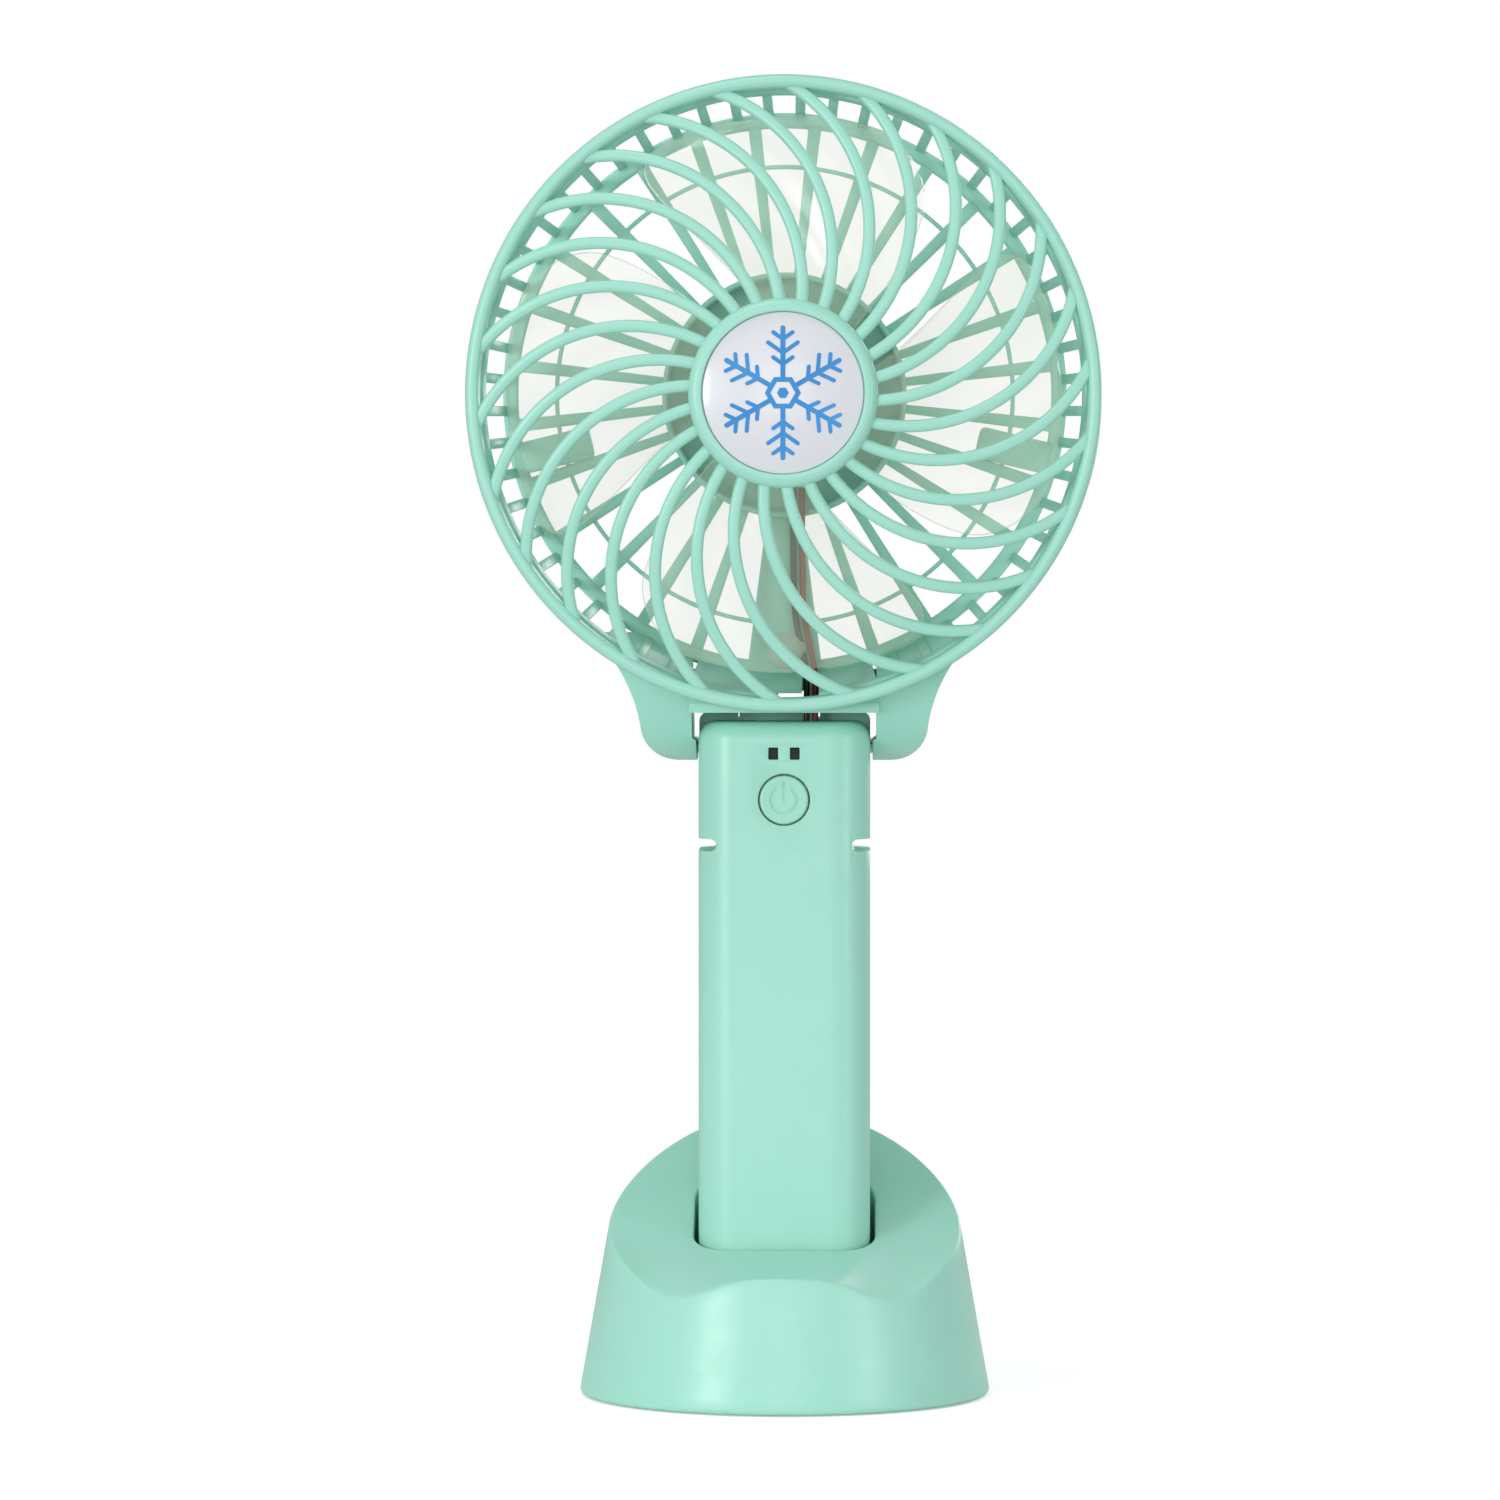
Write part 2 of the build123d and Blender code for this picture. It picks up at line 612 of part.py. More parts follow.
def make_head_wire(top_x, x):
    """A wire from a motor terminal, down the strut and out through the bridge."""
    panel_y = BACK_FRONT_Y - WIRE_R - 0.05
    down_strut = [(top_x, panel_y, HEAD_Z - 15.1), (top_x + 0.2, panel_y, 128)]
    through_bridge = [(x, WIRE_TOP_Y, 119), (x, WIRE_TOP_Y, 112.7)]
    return wire(down_strut + through_bridge)


def make_wire_glue(wires):
    blob = block((-3.2, 3.9), (-3.2, BACK_FRONT_Y), (119.0, 125.2))
    blob = fillet(blob.faces().sort_by(Axis.Y)[0].edges(), 1.0)
    return blob - wires


# ---- head: impeller ----


def corner_turn(radius, corner):
    """How many degrees a rounded corner at the blade's tip takes off the blade's edge."""
    share = max(0.0, 1 - (BLADE_TIP_R - radius) / corner)
    return corner * (1 - sqrt(1 - share**2)) / radius * 180 / pi


def blade_edges(radius):
    """The angles, clockwise from up, where the right-hand blade starts and ends at a radius."""
    reach = (radius - 14.0) / (BLADE_TIP_R - 14.0)
    first = 57 + 19 * max(0.0, 1 - reach) ** 2.2 + corner_turn(radius, 4.5)
    last = 137 - 10 * reach - 6 * max(0.0, reach) ** 4 - corner_turn(radius, 8.0)
    return first, last


def blade():
    """A thin twisted sheet: its clockwise edge is forward and its other edge is back."""
    rows = []
    for i in range(13):
        radius = HUB_R - 0.7 + (BLADE_TIP_R - HUB_R + 0.7) * sin(pi / 2 * i / 12)
        first, last = blade_edges(max(radius, 14.0))
        row = []
        for j in range(9):
            share = j / 8
            angle = radians(first + (last - first) * share)
            y = BLADE_BACK_Y + (BLADE_FRONT_Y - BLADE_BACK_Y) * (share + 0.1 * sin(pi * share))
            row.append(Vector(radius * sin(angle), y, radius * cos(angle)))
        rows.append(row)
    return thicken(Face.make_surface_from_array_of_points(rows), BLADE_THICKNESS / 2, both=True)


def make_impeller():
    hub = turned_polygon(
        (SHAFT_R, -21.0), (2.0, HUB_FRONT_Y), (13.0, HUB_FRONT_Y), (HUB_R, -20.8), (HUB_R, HUB_BACK_Y),
        (HUB_R - 1.2, HUB_BACK_Y), (HUB_R - 1.2, -20.4), (2.6, -20.4), (2.6, -17.2), (SHAFT_R, -17.2),
    )
    step = 360 / BLADE_COUNT
    blades = around(blade(), [step * i for i in range(BLADE_COUNT)])
    return at_head(hub.fuse(*blades))


# ---- write every piece ----


def save(name, shape):
    """Write one node; a list of solids becomes one group."""
    if isinstance(shape, list):
        shape = Compound(children=[piece.solid() for piece in shape])
    export_step(shape, f"parts/{name}.step")


def main():
    os.makedirs("parts", exist_ok=True)
    save("base_shell", make_base_shell())
    save("base_plate", make_base_plate())
    save("base_feet", make_base_feet())
    save("base_screws", make_base_screws())

    save("handle_front_shell", make_handle_front_shell())
    save("handle_rear_shell", make_handle_rear_shell())
    save("handle_screws", make_handle_screws())
    save("battery_cell", make_battery_cell())
    save("battery_contact_plate", make_battery_contact_plate())
    save("battery_spring_leaf", make_battery_spring_leaf())
    save("circuit_board", make_circuit_board())
    save("tact_switch", make_tact_switch())
    save("indicator_leds", make_indicator_leds())
    save("usb_socket", make_usb_socket())
    save("power_button", make_power_button())
    save("switch_plunger", make_switch_plunger())
    save("handle_wire_black", make_handle_wire(BLACK_WIRE_X))
    save("handle_wire_red", make_handle_wire(RED_WIRE_X))

    save("front_guard", make_front_guard())
    save("badge_disc", make_badge_disc())
    save("rear_guard", make_rear_guard())
    save("hinge_pins", make_hinge_pins())
    save("motor_case", make_motor_case())
    save("motor_end_cap", make_motor_end_cap())
    save("motor_terminals", make_motor_terminals())
    save("motor_screws", make_motor_screws())
    save("motor_magnets", make_motor_magnets())
    save("motor_rotor", make_motor_rotor())
    save("motor_shaft", make_motor_shaft())
    black_wire = make_head_wire(1.3, BLACK_WIRE_X)
    red_wire = make_head_wire(2.8, RED_WIRE_X)
    save("head_wire_black", black_wire)
    save("head_wire_red", red_wire)
    save("wire_glue", make_wire_glue([black_wire, red_wire]))
    save("impeller", make_impeller())


main()
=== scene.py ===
# %% [markdown]
# # A folding hand fan in its desk base
# This lesson models a small rechargeable fan with Blender's own editing tools. The solid model gives
# the sizes and the places of every piece, so each cell asks it for them and builds around them.
# Everything is in metres. X runs to the right, the fan blows towards -Y, and Z is up.

# %% Load the solid model
import json
from math import atan2, cos, degrees, exp, hypot, pi, radians, sin, sqrt

import bpy
from mathutils import Matrix, Vector


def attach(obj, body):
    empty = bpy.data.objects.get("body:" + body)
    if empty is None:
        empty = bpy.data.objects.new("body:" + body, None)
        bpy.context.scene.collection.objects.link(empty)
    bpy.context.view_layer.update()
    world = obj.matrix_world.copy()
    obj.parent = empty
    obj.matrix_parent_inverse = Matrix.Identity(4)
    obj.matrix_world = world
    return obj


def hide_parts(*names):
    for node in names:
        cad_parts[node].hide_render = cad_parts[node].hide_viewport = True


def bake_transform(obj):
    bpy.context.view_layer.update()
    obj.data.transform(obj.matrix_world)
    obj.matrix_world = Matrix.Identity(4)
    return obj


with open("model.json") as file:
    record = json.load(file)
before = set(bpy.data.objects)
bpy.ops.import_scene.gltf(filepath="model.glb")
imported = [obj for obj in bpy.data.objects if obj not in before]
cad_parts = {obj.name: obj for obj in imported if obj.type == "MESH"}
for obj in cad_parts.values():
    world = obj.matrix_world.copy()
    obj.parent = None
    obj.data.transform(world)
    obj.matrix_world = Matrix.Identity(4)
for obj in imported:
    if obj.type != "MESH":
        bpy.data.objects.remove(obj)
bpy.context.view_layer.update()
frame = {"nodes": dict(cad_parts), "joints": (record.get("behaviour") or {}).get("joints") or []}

MM = 0.001
NODES = frame["nodes"]
HEAD_CENTRE = next(j["pos_m"] for j in frame["joints"] if j["name"] == "impeller_spin")
HINGE = next(j["pos_m"] for j in frame["joints"] if j["name"] == "fold_hinge")
HEAD_X, HEAD_Z = HEAD_CENTRE[0], HEAD_CENTRE[2]
print("head axis at height", round(HEAD_Z, 5), "hinge at", [round(v, 5) for v in HINGE])

# %% [markdown]
# ## Camera, floor and light
# The fan is seen from the front through a long lens, a little above the top of the handle, so its
# uprights stay upright. A pale floor and a pale world give the clean studio look. Five square lamps
# light it. The two small ones, to the left and right of the front, draw the highlights that make
# satin plastic read as satin. The larger ones in front, above and behind fill in the shade.

# %% Camera
CAMERA_PLACE = Vector((0.0133, -1.225, 0.1457))
CAMERA_TARGET = Vector((-0.0057, 0.0, 0.1057))
camera_data = bpy.data.cameras.new("camera")
camera_data.lens = 179.5
camera_data.sensor_width = 36.0
camera_data.clip_start = 0.05
camera = bpy.data.objects.new("camera", camera_data)
camera.location = CAMERA_PLACE
camera.rotation_euler = (CAMERA_TARGET - CAMERA_PLACE).to_track_quat("-Z", "Y").to_euler()
bpy.context.scene.collection.objects.link(camera)
bpy.context.scene.camera = camera
print("lens", camera_data.lens, "mm, from", [round(v, 4) for v in CAMERA_PLACE])


# %% Soft lamps
def soft_lamp(name, place, target, size, power):
    """A square area lamp aimed at a point."""
    lamp = bpy.data.lights.new(name, "AREA")
    lamp.shape = "SQUARE"
    lamp.size = size
    lamp.energy = power
    holder = bpy.data.objects.new(name, lamp)
    holder.location = place
    holder.rotation_euler = (Vector(target) - Vector(place)).to_track_quat("-Z", "Y").to_euler()
    bpy.context.scene.collection.objects.link(holder)


FAN_MIDDLE = (0.0, 0.0, 0.11)
soft_lamp("key_lamp", (-0.85, -1.00, 0.24), FAN_MIDDLE, 0.34, 5.3)
soft_lamp("fill_lamp", (0.95, -0.80, 0.18), FAN_MIDDLE, 0.25, 1.9)
soft_lamp("front_lamp", (-0.05, -1.60, 0.24), FAN_MIDDLE, 0.70, 3.4)
soft_lamp("top_lamp", (-0.25, -0.30, 1.20), FAN_MIDDLE, 0.50, 3.0)
soft_lamp("back_lamp", (0.55, 1.15, 0.45), FAN_MIDDLE, 0.70, 4.5)
print("lamps:", len(bpy.data.lights))

# %% [markdown]
# The world is one even white. It is dimmer as a light than it is to look at, so that the lamps, and
# not the surroundings, shape the plastic. The floor is a pale disc that fades out towards its rim, so
# a soft shadow lies under the base and no horizon crosses the picture. It glows a little to the eye
# only, as an overexposed sweep of paper does, and so throws no light up onto the base.

# %% World and floor
WORLD_AS_LIGHT = 0.45
WORLD_AS_SEEN = 1.0
FLOOR_R = 0.6
FLOOR_GLOW = 0.42
FADE_START_R = 0.08
FADE_END_R = 0.40

world = bpy.data.worlds.new("studio")
bpy.context.scene.world = world
world.use_nodes = True
tree = world.node_tree
background = next(n for n in tree.nodes if n.type == "BACKGROUND")
background.inputs["Color"].default_value = (1.0, 1.0, 1.0, 1.0)
seen_directly = tree.nodes.new("ShaderNodeLightPath")
brightness = tree.nodes.new("ShaderNodeMapRange")
brightness.inputs["To Min"].default_value = WORLD_AS_LIGHT
brightness.inputs["To Max"].default_value = WORLD_AS_SEEN
tree.links.new(seen_directly.outputs["Is Camera Ray"], brightness.inputs["Value"])
tree.links.new(brightness.outputs["Result"], background.inputs["Strength"])
bpy.context.scene.view_settings.view_transform = "Standard"


def make_floor():
    """A round pale floor whose paint fades to nothing between two radii."""
    bpy.ops.object.select_all(action="DESELECT")
    bpy.ops.mesh.primitive_circle_add(vertices=96, radius=FLOOR_R, fill_type="NGON")
    floor = bpy.context.object
    floor.name = "floor"
    paint = bpy.data.materials.new("pale_floor")
    paint.use_nodes = True
    nodes, links = paint.node_tree.nodes, paint.node_tree.links
    shader = next(n for n in nodes if n.type == "BSDF_PRINCIPLED")
    shader.inputs["Base Color"].default_value = (0.93, 0.93, 0.93, 1.0)
    shader.inputs["Roughness"].default_value = 0.9
    shader.inputs["Emission Color"].default_value = (1.0, 1.0, 1.0, 1.0)
    seen = nodes.new("ShaderNodeLightPath")
    glow = nodes.new("ShaderNodeMapRange")
    glow.inputs["To Min"].default_value = 0.0
    glow.inputs["To Max"].default_value = FLOOR_GLOW
    links.new(seen.outputs["Is Camera Ray"], glow.inputs["Value"])
    links.new(glow.outputs["Result"], shader.inputs["Emission Strength"])
    place = nodes.new("ShaderNodeTexCoord")
    distance = nodes.new("ShaderNodeVectorMath")
    distance.operation = "LENGTH"
    fade = nodes.new("ShaderNodeMapRange")
    fade.interpolation_type = "SMOOTHSTEP"
    fade.inputs["From Min"].default_value = FADE_START_R
    fade.inputs["From Max"].default_value = FADE_END_R
    fade.inputs["To Min"].default_value = 1.0
    fade.inputs["To Max"].default_value = 0.0
    links.new(place.outputs["Object"], distance.inputs[0])
    links.new(distance.outputs["Value"], fade.inputs["Value"])
    links.new(fade.outputs["Result"], shader.inputs["Alpha"])
    floor.data.materials.append(paint)
    print("floor across", round(2 * FLOOR_R, 2), "m")


make_floor()


# %% [markdown]
# ## Tools used by every cell
# An operator works on whatever is selected, and the imported solids arrive selected, so each new
# piece starts by letting go of everything. Edges are then picked by where they are.
# A finished piece keeps its place in its mesh, with its object left at the origin.

# %% Selection helpers
def let_go():
    """Leave edit mode if need be, and select nothing."""
    if bpy.context.object and bpy.context.object.mode == "EDIT":
        bpy.ops.object.mode_set(mode="OBJECT")
    bpy.ops.object.select_all(action="DESELECT")


def hold(piece):
    """Make one piece the only selected and active one."""
    let_go()
    piece.select_set(True)
    bpy.context.view_layer.objects.active = piece


def pick_edges(piece, rule):
    """In edit mode, select just the edges for whose two ends rule is true, and count them."""
    hold(piece)
    bpy.ops.object.mode_set(mode="EDIT")
    bpy.ops.mesh.select_mode(type="EDGE")
    bpy.ops.mesh.select_all(action="DESELECT")
    bpy.ops.object.mode_set(mode="OBJECT")
    mesh = piece.data
    count = 0
    for edge in mesh.edges:
        first, second = [mesh.vertices[i].co for i in edge.vertices]
        edge.select = rule(first, second)
        count += edge.select
    bpy.ops.object.mode_set(mode="EDIT")
    return count


def done(piece):
    """Put a piece's place into its mesh, and name the mesh after the piece."""
    hold(piece)
    bpy.ops.object.transform_apply(location=True, rotation=True, scale=True)
    piece.data.name = piece.name
    return piece


def named(name):
    """Give the piece just added a name."""
    piece = bpy.context.object
    piece.name = name
    return piece


def apply_modifier(piece, kind, **settings):
    """Add a modifier, set it and apply it."""
    hold(piece)
    modifier = piece.modifiers.new(kind.lower(), kind)
    for key, value in settings.items():
        setattr(modifier, key, value)
    bpy.ops.object.modifier_apply(modifier=modifier.name)
    return piece


def tidy_faces(piece, merge=1e-7):
    """Merge doubled points and make every face point outwards."""
    hold(piece)
    bpy.ops.object.mode_set(mode="EDIT")
    bpy.ops.mesh.select_all(action="SELECT")
    bpy.ops.mesh.remove_doubles(threshold=merge)
    bpy.ops.mesh.delete_loose(use_verts=True, use_edges=True, use_faces=False)
    bpy.ops.mesh.select_all(action="SELECT")
    bpy.ops.mesh.normals_make_consistent(inside=False)
    bpy.ops.object.mode_set(mode="OBJECT")
    return piece


def smooth(piece, angle=40):
    """Smooth shading, with creases kept where faces meet more sharply than angle."""
    hold(piece)
    bpy.ops.object.shade_smooth_by_angle(angle=radians(angle))
    return piece


def combine(piece, operation, others):
    """Run a boolean with each of the other closed shapes, and throw those away."""
    for other in others:
        apply_modifier(piece, "BOOLEAN", operation=operation, object=other, solver="EXACT")
        bpy.data.objects.remove(other)
    return piece


def cut_away(piece, *cutters):
    """Cut closed shapes out of a piece."""
    return combine(piece, "DIFFERENCE", cutters)


def keep_inside(piece, *shapes):
    """Keep only the part of a piece that is inside each shape."""
    return combine(piece, "INTERSECT", shapes)


def fuse(piece, *others):
    """Melt other closed shapes into a piece."""
    return combine(piece, "UNION", others)


def soften(piece, width, segments=3, angle=35):
    """Round every edge sharper than angle, as a mould leaves it."""
    apply_modifier(
        piece, "BEVEL", width=width, segments=segments, limit_method="ANGLE",
        angle_limit=radians(angle), use_clamp_overlap=True, harden_normals=False,
    )
    return smooth(piece)


def joined(name, pieces):
    """Join several pieces into one object."""
    let_go()
    for piece in pieces:
        piece.select_set(True)
    bpy.context.view_layer.objects.active = pieces[0]
    bpy.ops.object.join()
    return done(named(name))


def twin(piece, name, matrix):
    """A copy with its own mesh, moved by a matrix."""
    copy = piece.copy()
    copy.data = piece.data.copy()
    copy.data.transform(matrix)
    if matrix.determinant() < 0:
        copy.data.flip_normals()
    copy.name = name
    bpy.context.scene.collection.objects.link(copy)
    return copy


# %% [markdown]
# Three ways of making a blank cover most of the fan. A turned piece is an outline of radius and Y,
# spun about the head's axis. A plate is an outline seen from the front, pushed back along Y. A block
# is a cube at its size. Each is only a blank: the cells below cut, round and bend it.


# %% Blanks
def outline_face(name, points):
    """One flat face through the points, made by extruding a point from corner to corner."""
    let_go()
    mesh = bpy.data.meshes.new(name)
    mesh.from_pydata([points[0]], [], [])
    piece = bpy.data.objects.new(name, mesh)
    bpy.context.scene.collection.objects.link(piece)
    hold(piece)
    bpy.ops.object.mode_set(mode="EDIT")
    bpy.ops.mesh.select_all(action="SELECT")
    here = Vector(points[0])
    for point in points[1:]:
        step = Vector(point) - here
        bpy.ops.mesh.extrude_vertices_move(TRANSFORM_OT_translate={"value": step})
        here = Vector(point)
    bpy.ops.mesh.select_all(action="SELECT")
    bpy.ops.mesh.edge_face_add()
    bpy.ops.object.mode_set(mode="OBJECT")
    return piece


def pushed(name, points, move):
    """A flat face through the points, pushed out into a plate."""
    piece = outline_face(name, points)
    bpy.ops.object.mode_set(mode="EDIT")
    bpy.ops.mesh.select_all(action="SELECT")
    bpy.ops.mesh.extrude_region_move(TRANSFORM_OT_translate={"value": move})
    bpy.ops.object.mode_set(mode="OBJECT")
    return tidy_faces(piece)


def plate(name, outline, front_y, back_y):
    """A plate whose outline is (X, Z) points in millimetres, between two Y values."""
    points = [(x * MM, front_y * MM, z * MM) for x, z in outline]
    return pushed(name, points, (0, (back_y - front_y) * MM, 0))


def side_plate(name, outline, low_x, high_x):
    """A plate whose outline is (Y, Z) points in millimetres, between two X values."""
    points = [(low_x * MM, y * MM, z * MM) for y, z in outline]
    return pushed(name, points, ((high_x - low_x) * MM, 0, 0))


def turned(name, outline, steps=144, centre=(HEAD_X, 0.0, HEAD_Z)):
    """Spin a closed outline of (radius, Y) points in millimetres about a line along Y."""
    start = [(centre[0] + r * MM, y * MM, centre[2]) for r, y in outline]
    piece = outline_face(name, start)
    bpy.ops.object.mode_set(mode="EDIT")
    bpy.ops.mesh.select_all(action="SELECT")
    bpy.ops.mesh.delete(type="ONLY_FACE")
    bpy.ops.mesh.select_all(action="SELECT")
    bpy.ops.mesh.spin(steps=steps, angle=2 * pi, center=centre, axis=(0, 1, 0))
    bpy.ops.object.mode_set(mode="OBJECT")
    return tidy_faces(piece, merge=2e-6)


def block(name, x, y, z):
    """A block between (low, high) limits in millimetres on each axis."""
    let_go()
    centre = [(limits[0] + limits[1]) / 2 * MM for limits in (x, y, z)]
    size = [(limits[1] - limits[0]) * MM for limits in (x, y, z)]
    bpy.ops.mesh.primitive_cube_add(size=1, location=centre, scale=size)
    return done(named(name))


def rod(name, radius, start, end, sides=48):
    """A round rod between two points, all in millimetres."""
    let_go()
    run = Vector(end) - Vector(start)
    middle = (Vector(end) + Vector(start)) / 2 * MM
    turn = run.to_track_quat("Z", "Y").to_euler()
    bpy.ops.mesh.primitive_cylinder_add(
        vertices=sides, radius=radius * MM, depth=run.length * MM, location=middle, rotation=turn
    )
    return done(named(name))


def lofted(name, rings):
    """Extrude a face through a list of rings, each with the same number of points, in millimetres."""
    piece = outline_face(name, [Vector(point) * MM for point in rings[0]])
    mesh = piece.data
    places = [tuple(vertex.co) for vertex in mesh.vertices]
    for ring in rings[1:]:
        bpy.ops.object.mode_set(mode="EDIT")
        bpy.ops.mesh.extrude_region_move(TRANSFORM_OT_translate={"value": (0, 0, 0)})
        bpy.ops.object.mode_set(mode="OBJECT")
        order = {place: i for i, place in enumerate(places)}
        places = list(places)
        for vertex in mesh.vertices:
            if vertex.select:
                i = order[tuple(vertex.co)]
                vertex.co = Vector(ring[i]) * MM
                places[i] = tuple(vertex.co)
    return tidy_faces(piece)


def arc(centre, radius, start, end, steps):
    """Points along an arc, with angles in degrees counter-clockwise from the first axis."""
    angles = [radians(start + (end - start) * i / steps) for i in range(steps + 1)]
    return [(centre[0] + radius * cos(a), centre[1] + radius * sin(a)) for a in angles]


def three_point_arc(first, middle, last, steps):
    """Points along the circle through three points."""
    (ax, ay), (bx, by), (cx, cy) = first, middle, last
    d = 2 * (ax * (by - cy) + bx * (cy - ay) + cx * (ay - by))
    a2, b2, c2 = ax * ax + ay * ay, bx * bx + by * by, cx * cx + cy * cy
    ux = (a2 * (by - cy) + b2 * (cy - ay) + c2 * (ay - by)) / d
    uy = (a2 * (cx - bx) + b2 * (ax - cx) + c2 * (bx - ax)) / d
    angles = [atan2(y - uy, x - ux) for x, y in (first, middle, last)]
    sweep = (angles[2] - angles[0]) % (2 * pi)
    if (angles[1] - angles[0]) % (2 * pi) > sweep:
        sweep -= 2 * pi
    radius = hypot(ax - ux, ay - uy)
    turns = [angles[0] + sweep * i / steps for i in range(steps + 1)]
    return [(ux + radius * cos(a), uy + radius * sin(a)) for a in turns]


def clockwise(angle):
    """A turn about the head's axis, clockwise in degrees as seen from the front."""
    to_axis = Matrix.Translation((HEAD_X, 0, HEAD_Z))
    return to_axis @ Matrix.Rotation(radians(angle), 4, "Y") @ to_axis.inverted()


# %% [markdown]
# ## Finishes
# The body is mint ABS plastic. Its moulds have a very fine spark-eroded texture, so the gloss is
# satin, and flow inside the mould leaves faint shade changes. Light that enters the plastic comes
# back greener, which is why deep corners glow: a little subsurface scattering does that.


# %% Finish helpers
def new_finish(name):
    """A material with an empty node tree but for the output and a Principled shader."""
    finish = bpy.data.materials.new(name)
    finish.use_nodes = True
    finish.node_tree.nodes.clear()
    output = finish.node_tree.nodes.new("ShaderNodeOutputMaterial")
    shader = finish.node_tree.nodes.new("ShaderNodeBsdfPrincipled")
    finish.node_tree.links.new(shader.outputs["BSDF"], output.inputs["Surface"])
    return finish, shader


def set_inputs(shader, **values):
    """Set a shader's sockets by their names, with underscores for spaces."""
    for key, value in values.items():
        shader.inputs[key.replace("_", " ")].default_value = value


def object_noise(finish, scale, detail):
    """A noise pattern on the object's coordinates."""
    tree = finish.node_tree
    place = tree.nodes.new("ShaderNodeTexCoord")
    noise = tree.nodes.new("ShaderNodeTexNoise")
    noise.inputs["Scale"].default_value = scale
    noise.inputs["Detail"].default_value = detail
    tree.links.new(place.outputs["Object"], noise.inputs["Vector"])
    return tree, noise


def mottle(finish, shader, low, high, scale, socket="Base Color"):
    """Let a socket drift between two values over a noise pattern."""
    tree, noise = object_noise(finish, scale, 3.0)
    ramp = tree.nodes.new("ShaderNodeValToRGB")
    ramp.color_ramp.elements[0].position = 0.3
    ramp.color_ramp.elements[1].position = 0.7
    ramp.color_ramp.elements[0].color = low
    ramp.color_ramp.elements[1].color = high
    tree.links.new(noise.outputs["Fac"], ramp.inputs["Fac"])
    tree.links.new(ramp.outputs["Color"], shader.inputs[socket])


def grain(finish, shader, scale, strength, distance):
    """A fine bump."""
    tree, noise = object_noise(finish, scale, 2.0)
    bump = tree.nodes.new("ShaderNodeBump")
    bump.inputs["Strength"].default_value = strength
    bump.inputs["Distance"].default_value = distance
    tree.links.new(noise.outputs["Fac"], bump.inputs["Height"])
    tree.links.new(bump.outputs["Normal"], shader.inputs["Normal"])


def grey(value):
    """A grey colour, for a ramp that drives roughness."""
    return (value, value, value, 1.0)


def plain(name, colour, roughness, metallic=0.0, spread=0.06, scale=300.0, bump=0.0):
    """A simple finish: a colour and a roughness that both drift a little over the piece."""
    finish, shader = new_finish(name)
    low = tuple(c * (1 - spread) for c in colour) + (1.0,)
    high = tuple(min(1.0, c * (1 + spread)) for c in colour) + (1.0,)
    set_inputs(shader, Metallic=metallic)
    mottle(finish, shader, low, high, scale)
    mottle(finish, shader, grey(roughness * 0.85), grey(roughness * 1.15), scale * 2, socket="Roughness")
    if bump:
        grain(finish, shader, 3000.0, 0.3, bump)
    return finish


def wear(piece, finish):
    """Give a piece one finish all over."""
    piece.data.materials.clear()
    piece.data.materials.append(finish)
    print(piece.name, "wears", finish.name, [round(v / MM, 1) for v in piece.dimensions], "mm")


# %% Mint plastic
def mint_plastic(name, low, high, roughness=0.34):
    """Satin plastic with a little light scattered inside it."""
    finish, shader = new_finish(name)
    set_inputs(
        shader, IOR=1.5, Subsurface_Weight=0.12, Subsurface_Radius=(0.5, 1.0, 0.8),
        Subsurface_Scale=0.0015,
    )
    mottle(finish, shader, low, high, 38.0)
    mottle(finish, shader, grey(roughness - 0.04), grey(roughness + 0.05), 220.0, socket="Roughness")
    grain(finish, shader, 5200.0, 0.22, 0.00003)
    return finish


MINT = mint_plastic("mint_abs", (0.365, 0.745, 0.620, 1.0), (0.385, 0.765, 0.640, 1.0))

# %% [markdown]
# ## The front guard
# The guard that faces you is one moulding: an outer ring, a boss in the middle for the badge, and
# ribs that sweep from one to the other. The ring and the boss are turned shapes, so an outline is
# drawn once and spun. A boolean union with every rib would leave slivers where they meet, so each
# rib simply runs a little way into the ring and the boss, as they would flow together in the mould.

# %% Ring and boss
RING_OUTLINE = (
    [(48.95, -16.95), (48.95, -20.7)]
    + three_point_arc((49.05, -21.3), (50.05, -22.45), (51.05, -20.9), 10)
    + [(51.3, -20.0), (51.38, -15.4), (51.2, -15.2), (50.0, -15.2), (49.9, -16.95)]
)
BOSS_OUTLINE = (
    [(0, -28.0), (13.03, -28.0), (13.03, -28.75)]
    + three_point_arc((13.2, -28.98), (14.4, -28.8), (15.15, -27.7), 8)
    + [(15.2, -27.0), (15.2, -25.2), (13.9, -25.2), (13.9, -26.5), (0, -26.5)]
)
guard_ring = smooth(turned("guard_ring", RING_OUTLINE, steps=192))
guard_boss = smooth(turned("guard_boss", BOSS_OUTLINE, steps=96))
print("ring across", round(guard_ring.dimensions.x / MM, 2), "mm")

# %% [markdown]
# Each rib follows an arc of one circle as seen from the front, and the domed face of the guard as
# seen from the side. Its section is a round-topped bar. One rib is extruded station by station
# along that path, and the others are turned copies of it.

# %% One rib
RIB_COUNT = 26
RIB_ARC_CENTRE = Vector((-27.7, 10.8))
RIB_ARC_R = 27.4
RIB_HALF_WIDTH = 0.98
RIB_START_R = 14.3
RIB_END_R = 49.9
RIB_STATIONS = 26
DOME = three_point_arc((14.0, -27.75), (34.0, -26.05), (49.5, -21.75), 24)


def dome_y(radius):
    """The guard's outer face at a distance from the axis."""
    for (r0, y0), (r1, y1) in zip(DOME, DOME[1:]):
        if radius <= r1:
            return y0 + (y1 - y0) * (radius - r0) / (r1 - r0)
    return DOME[-1][1]


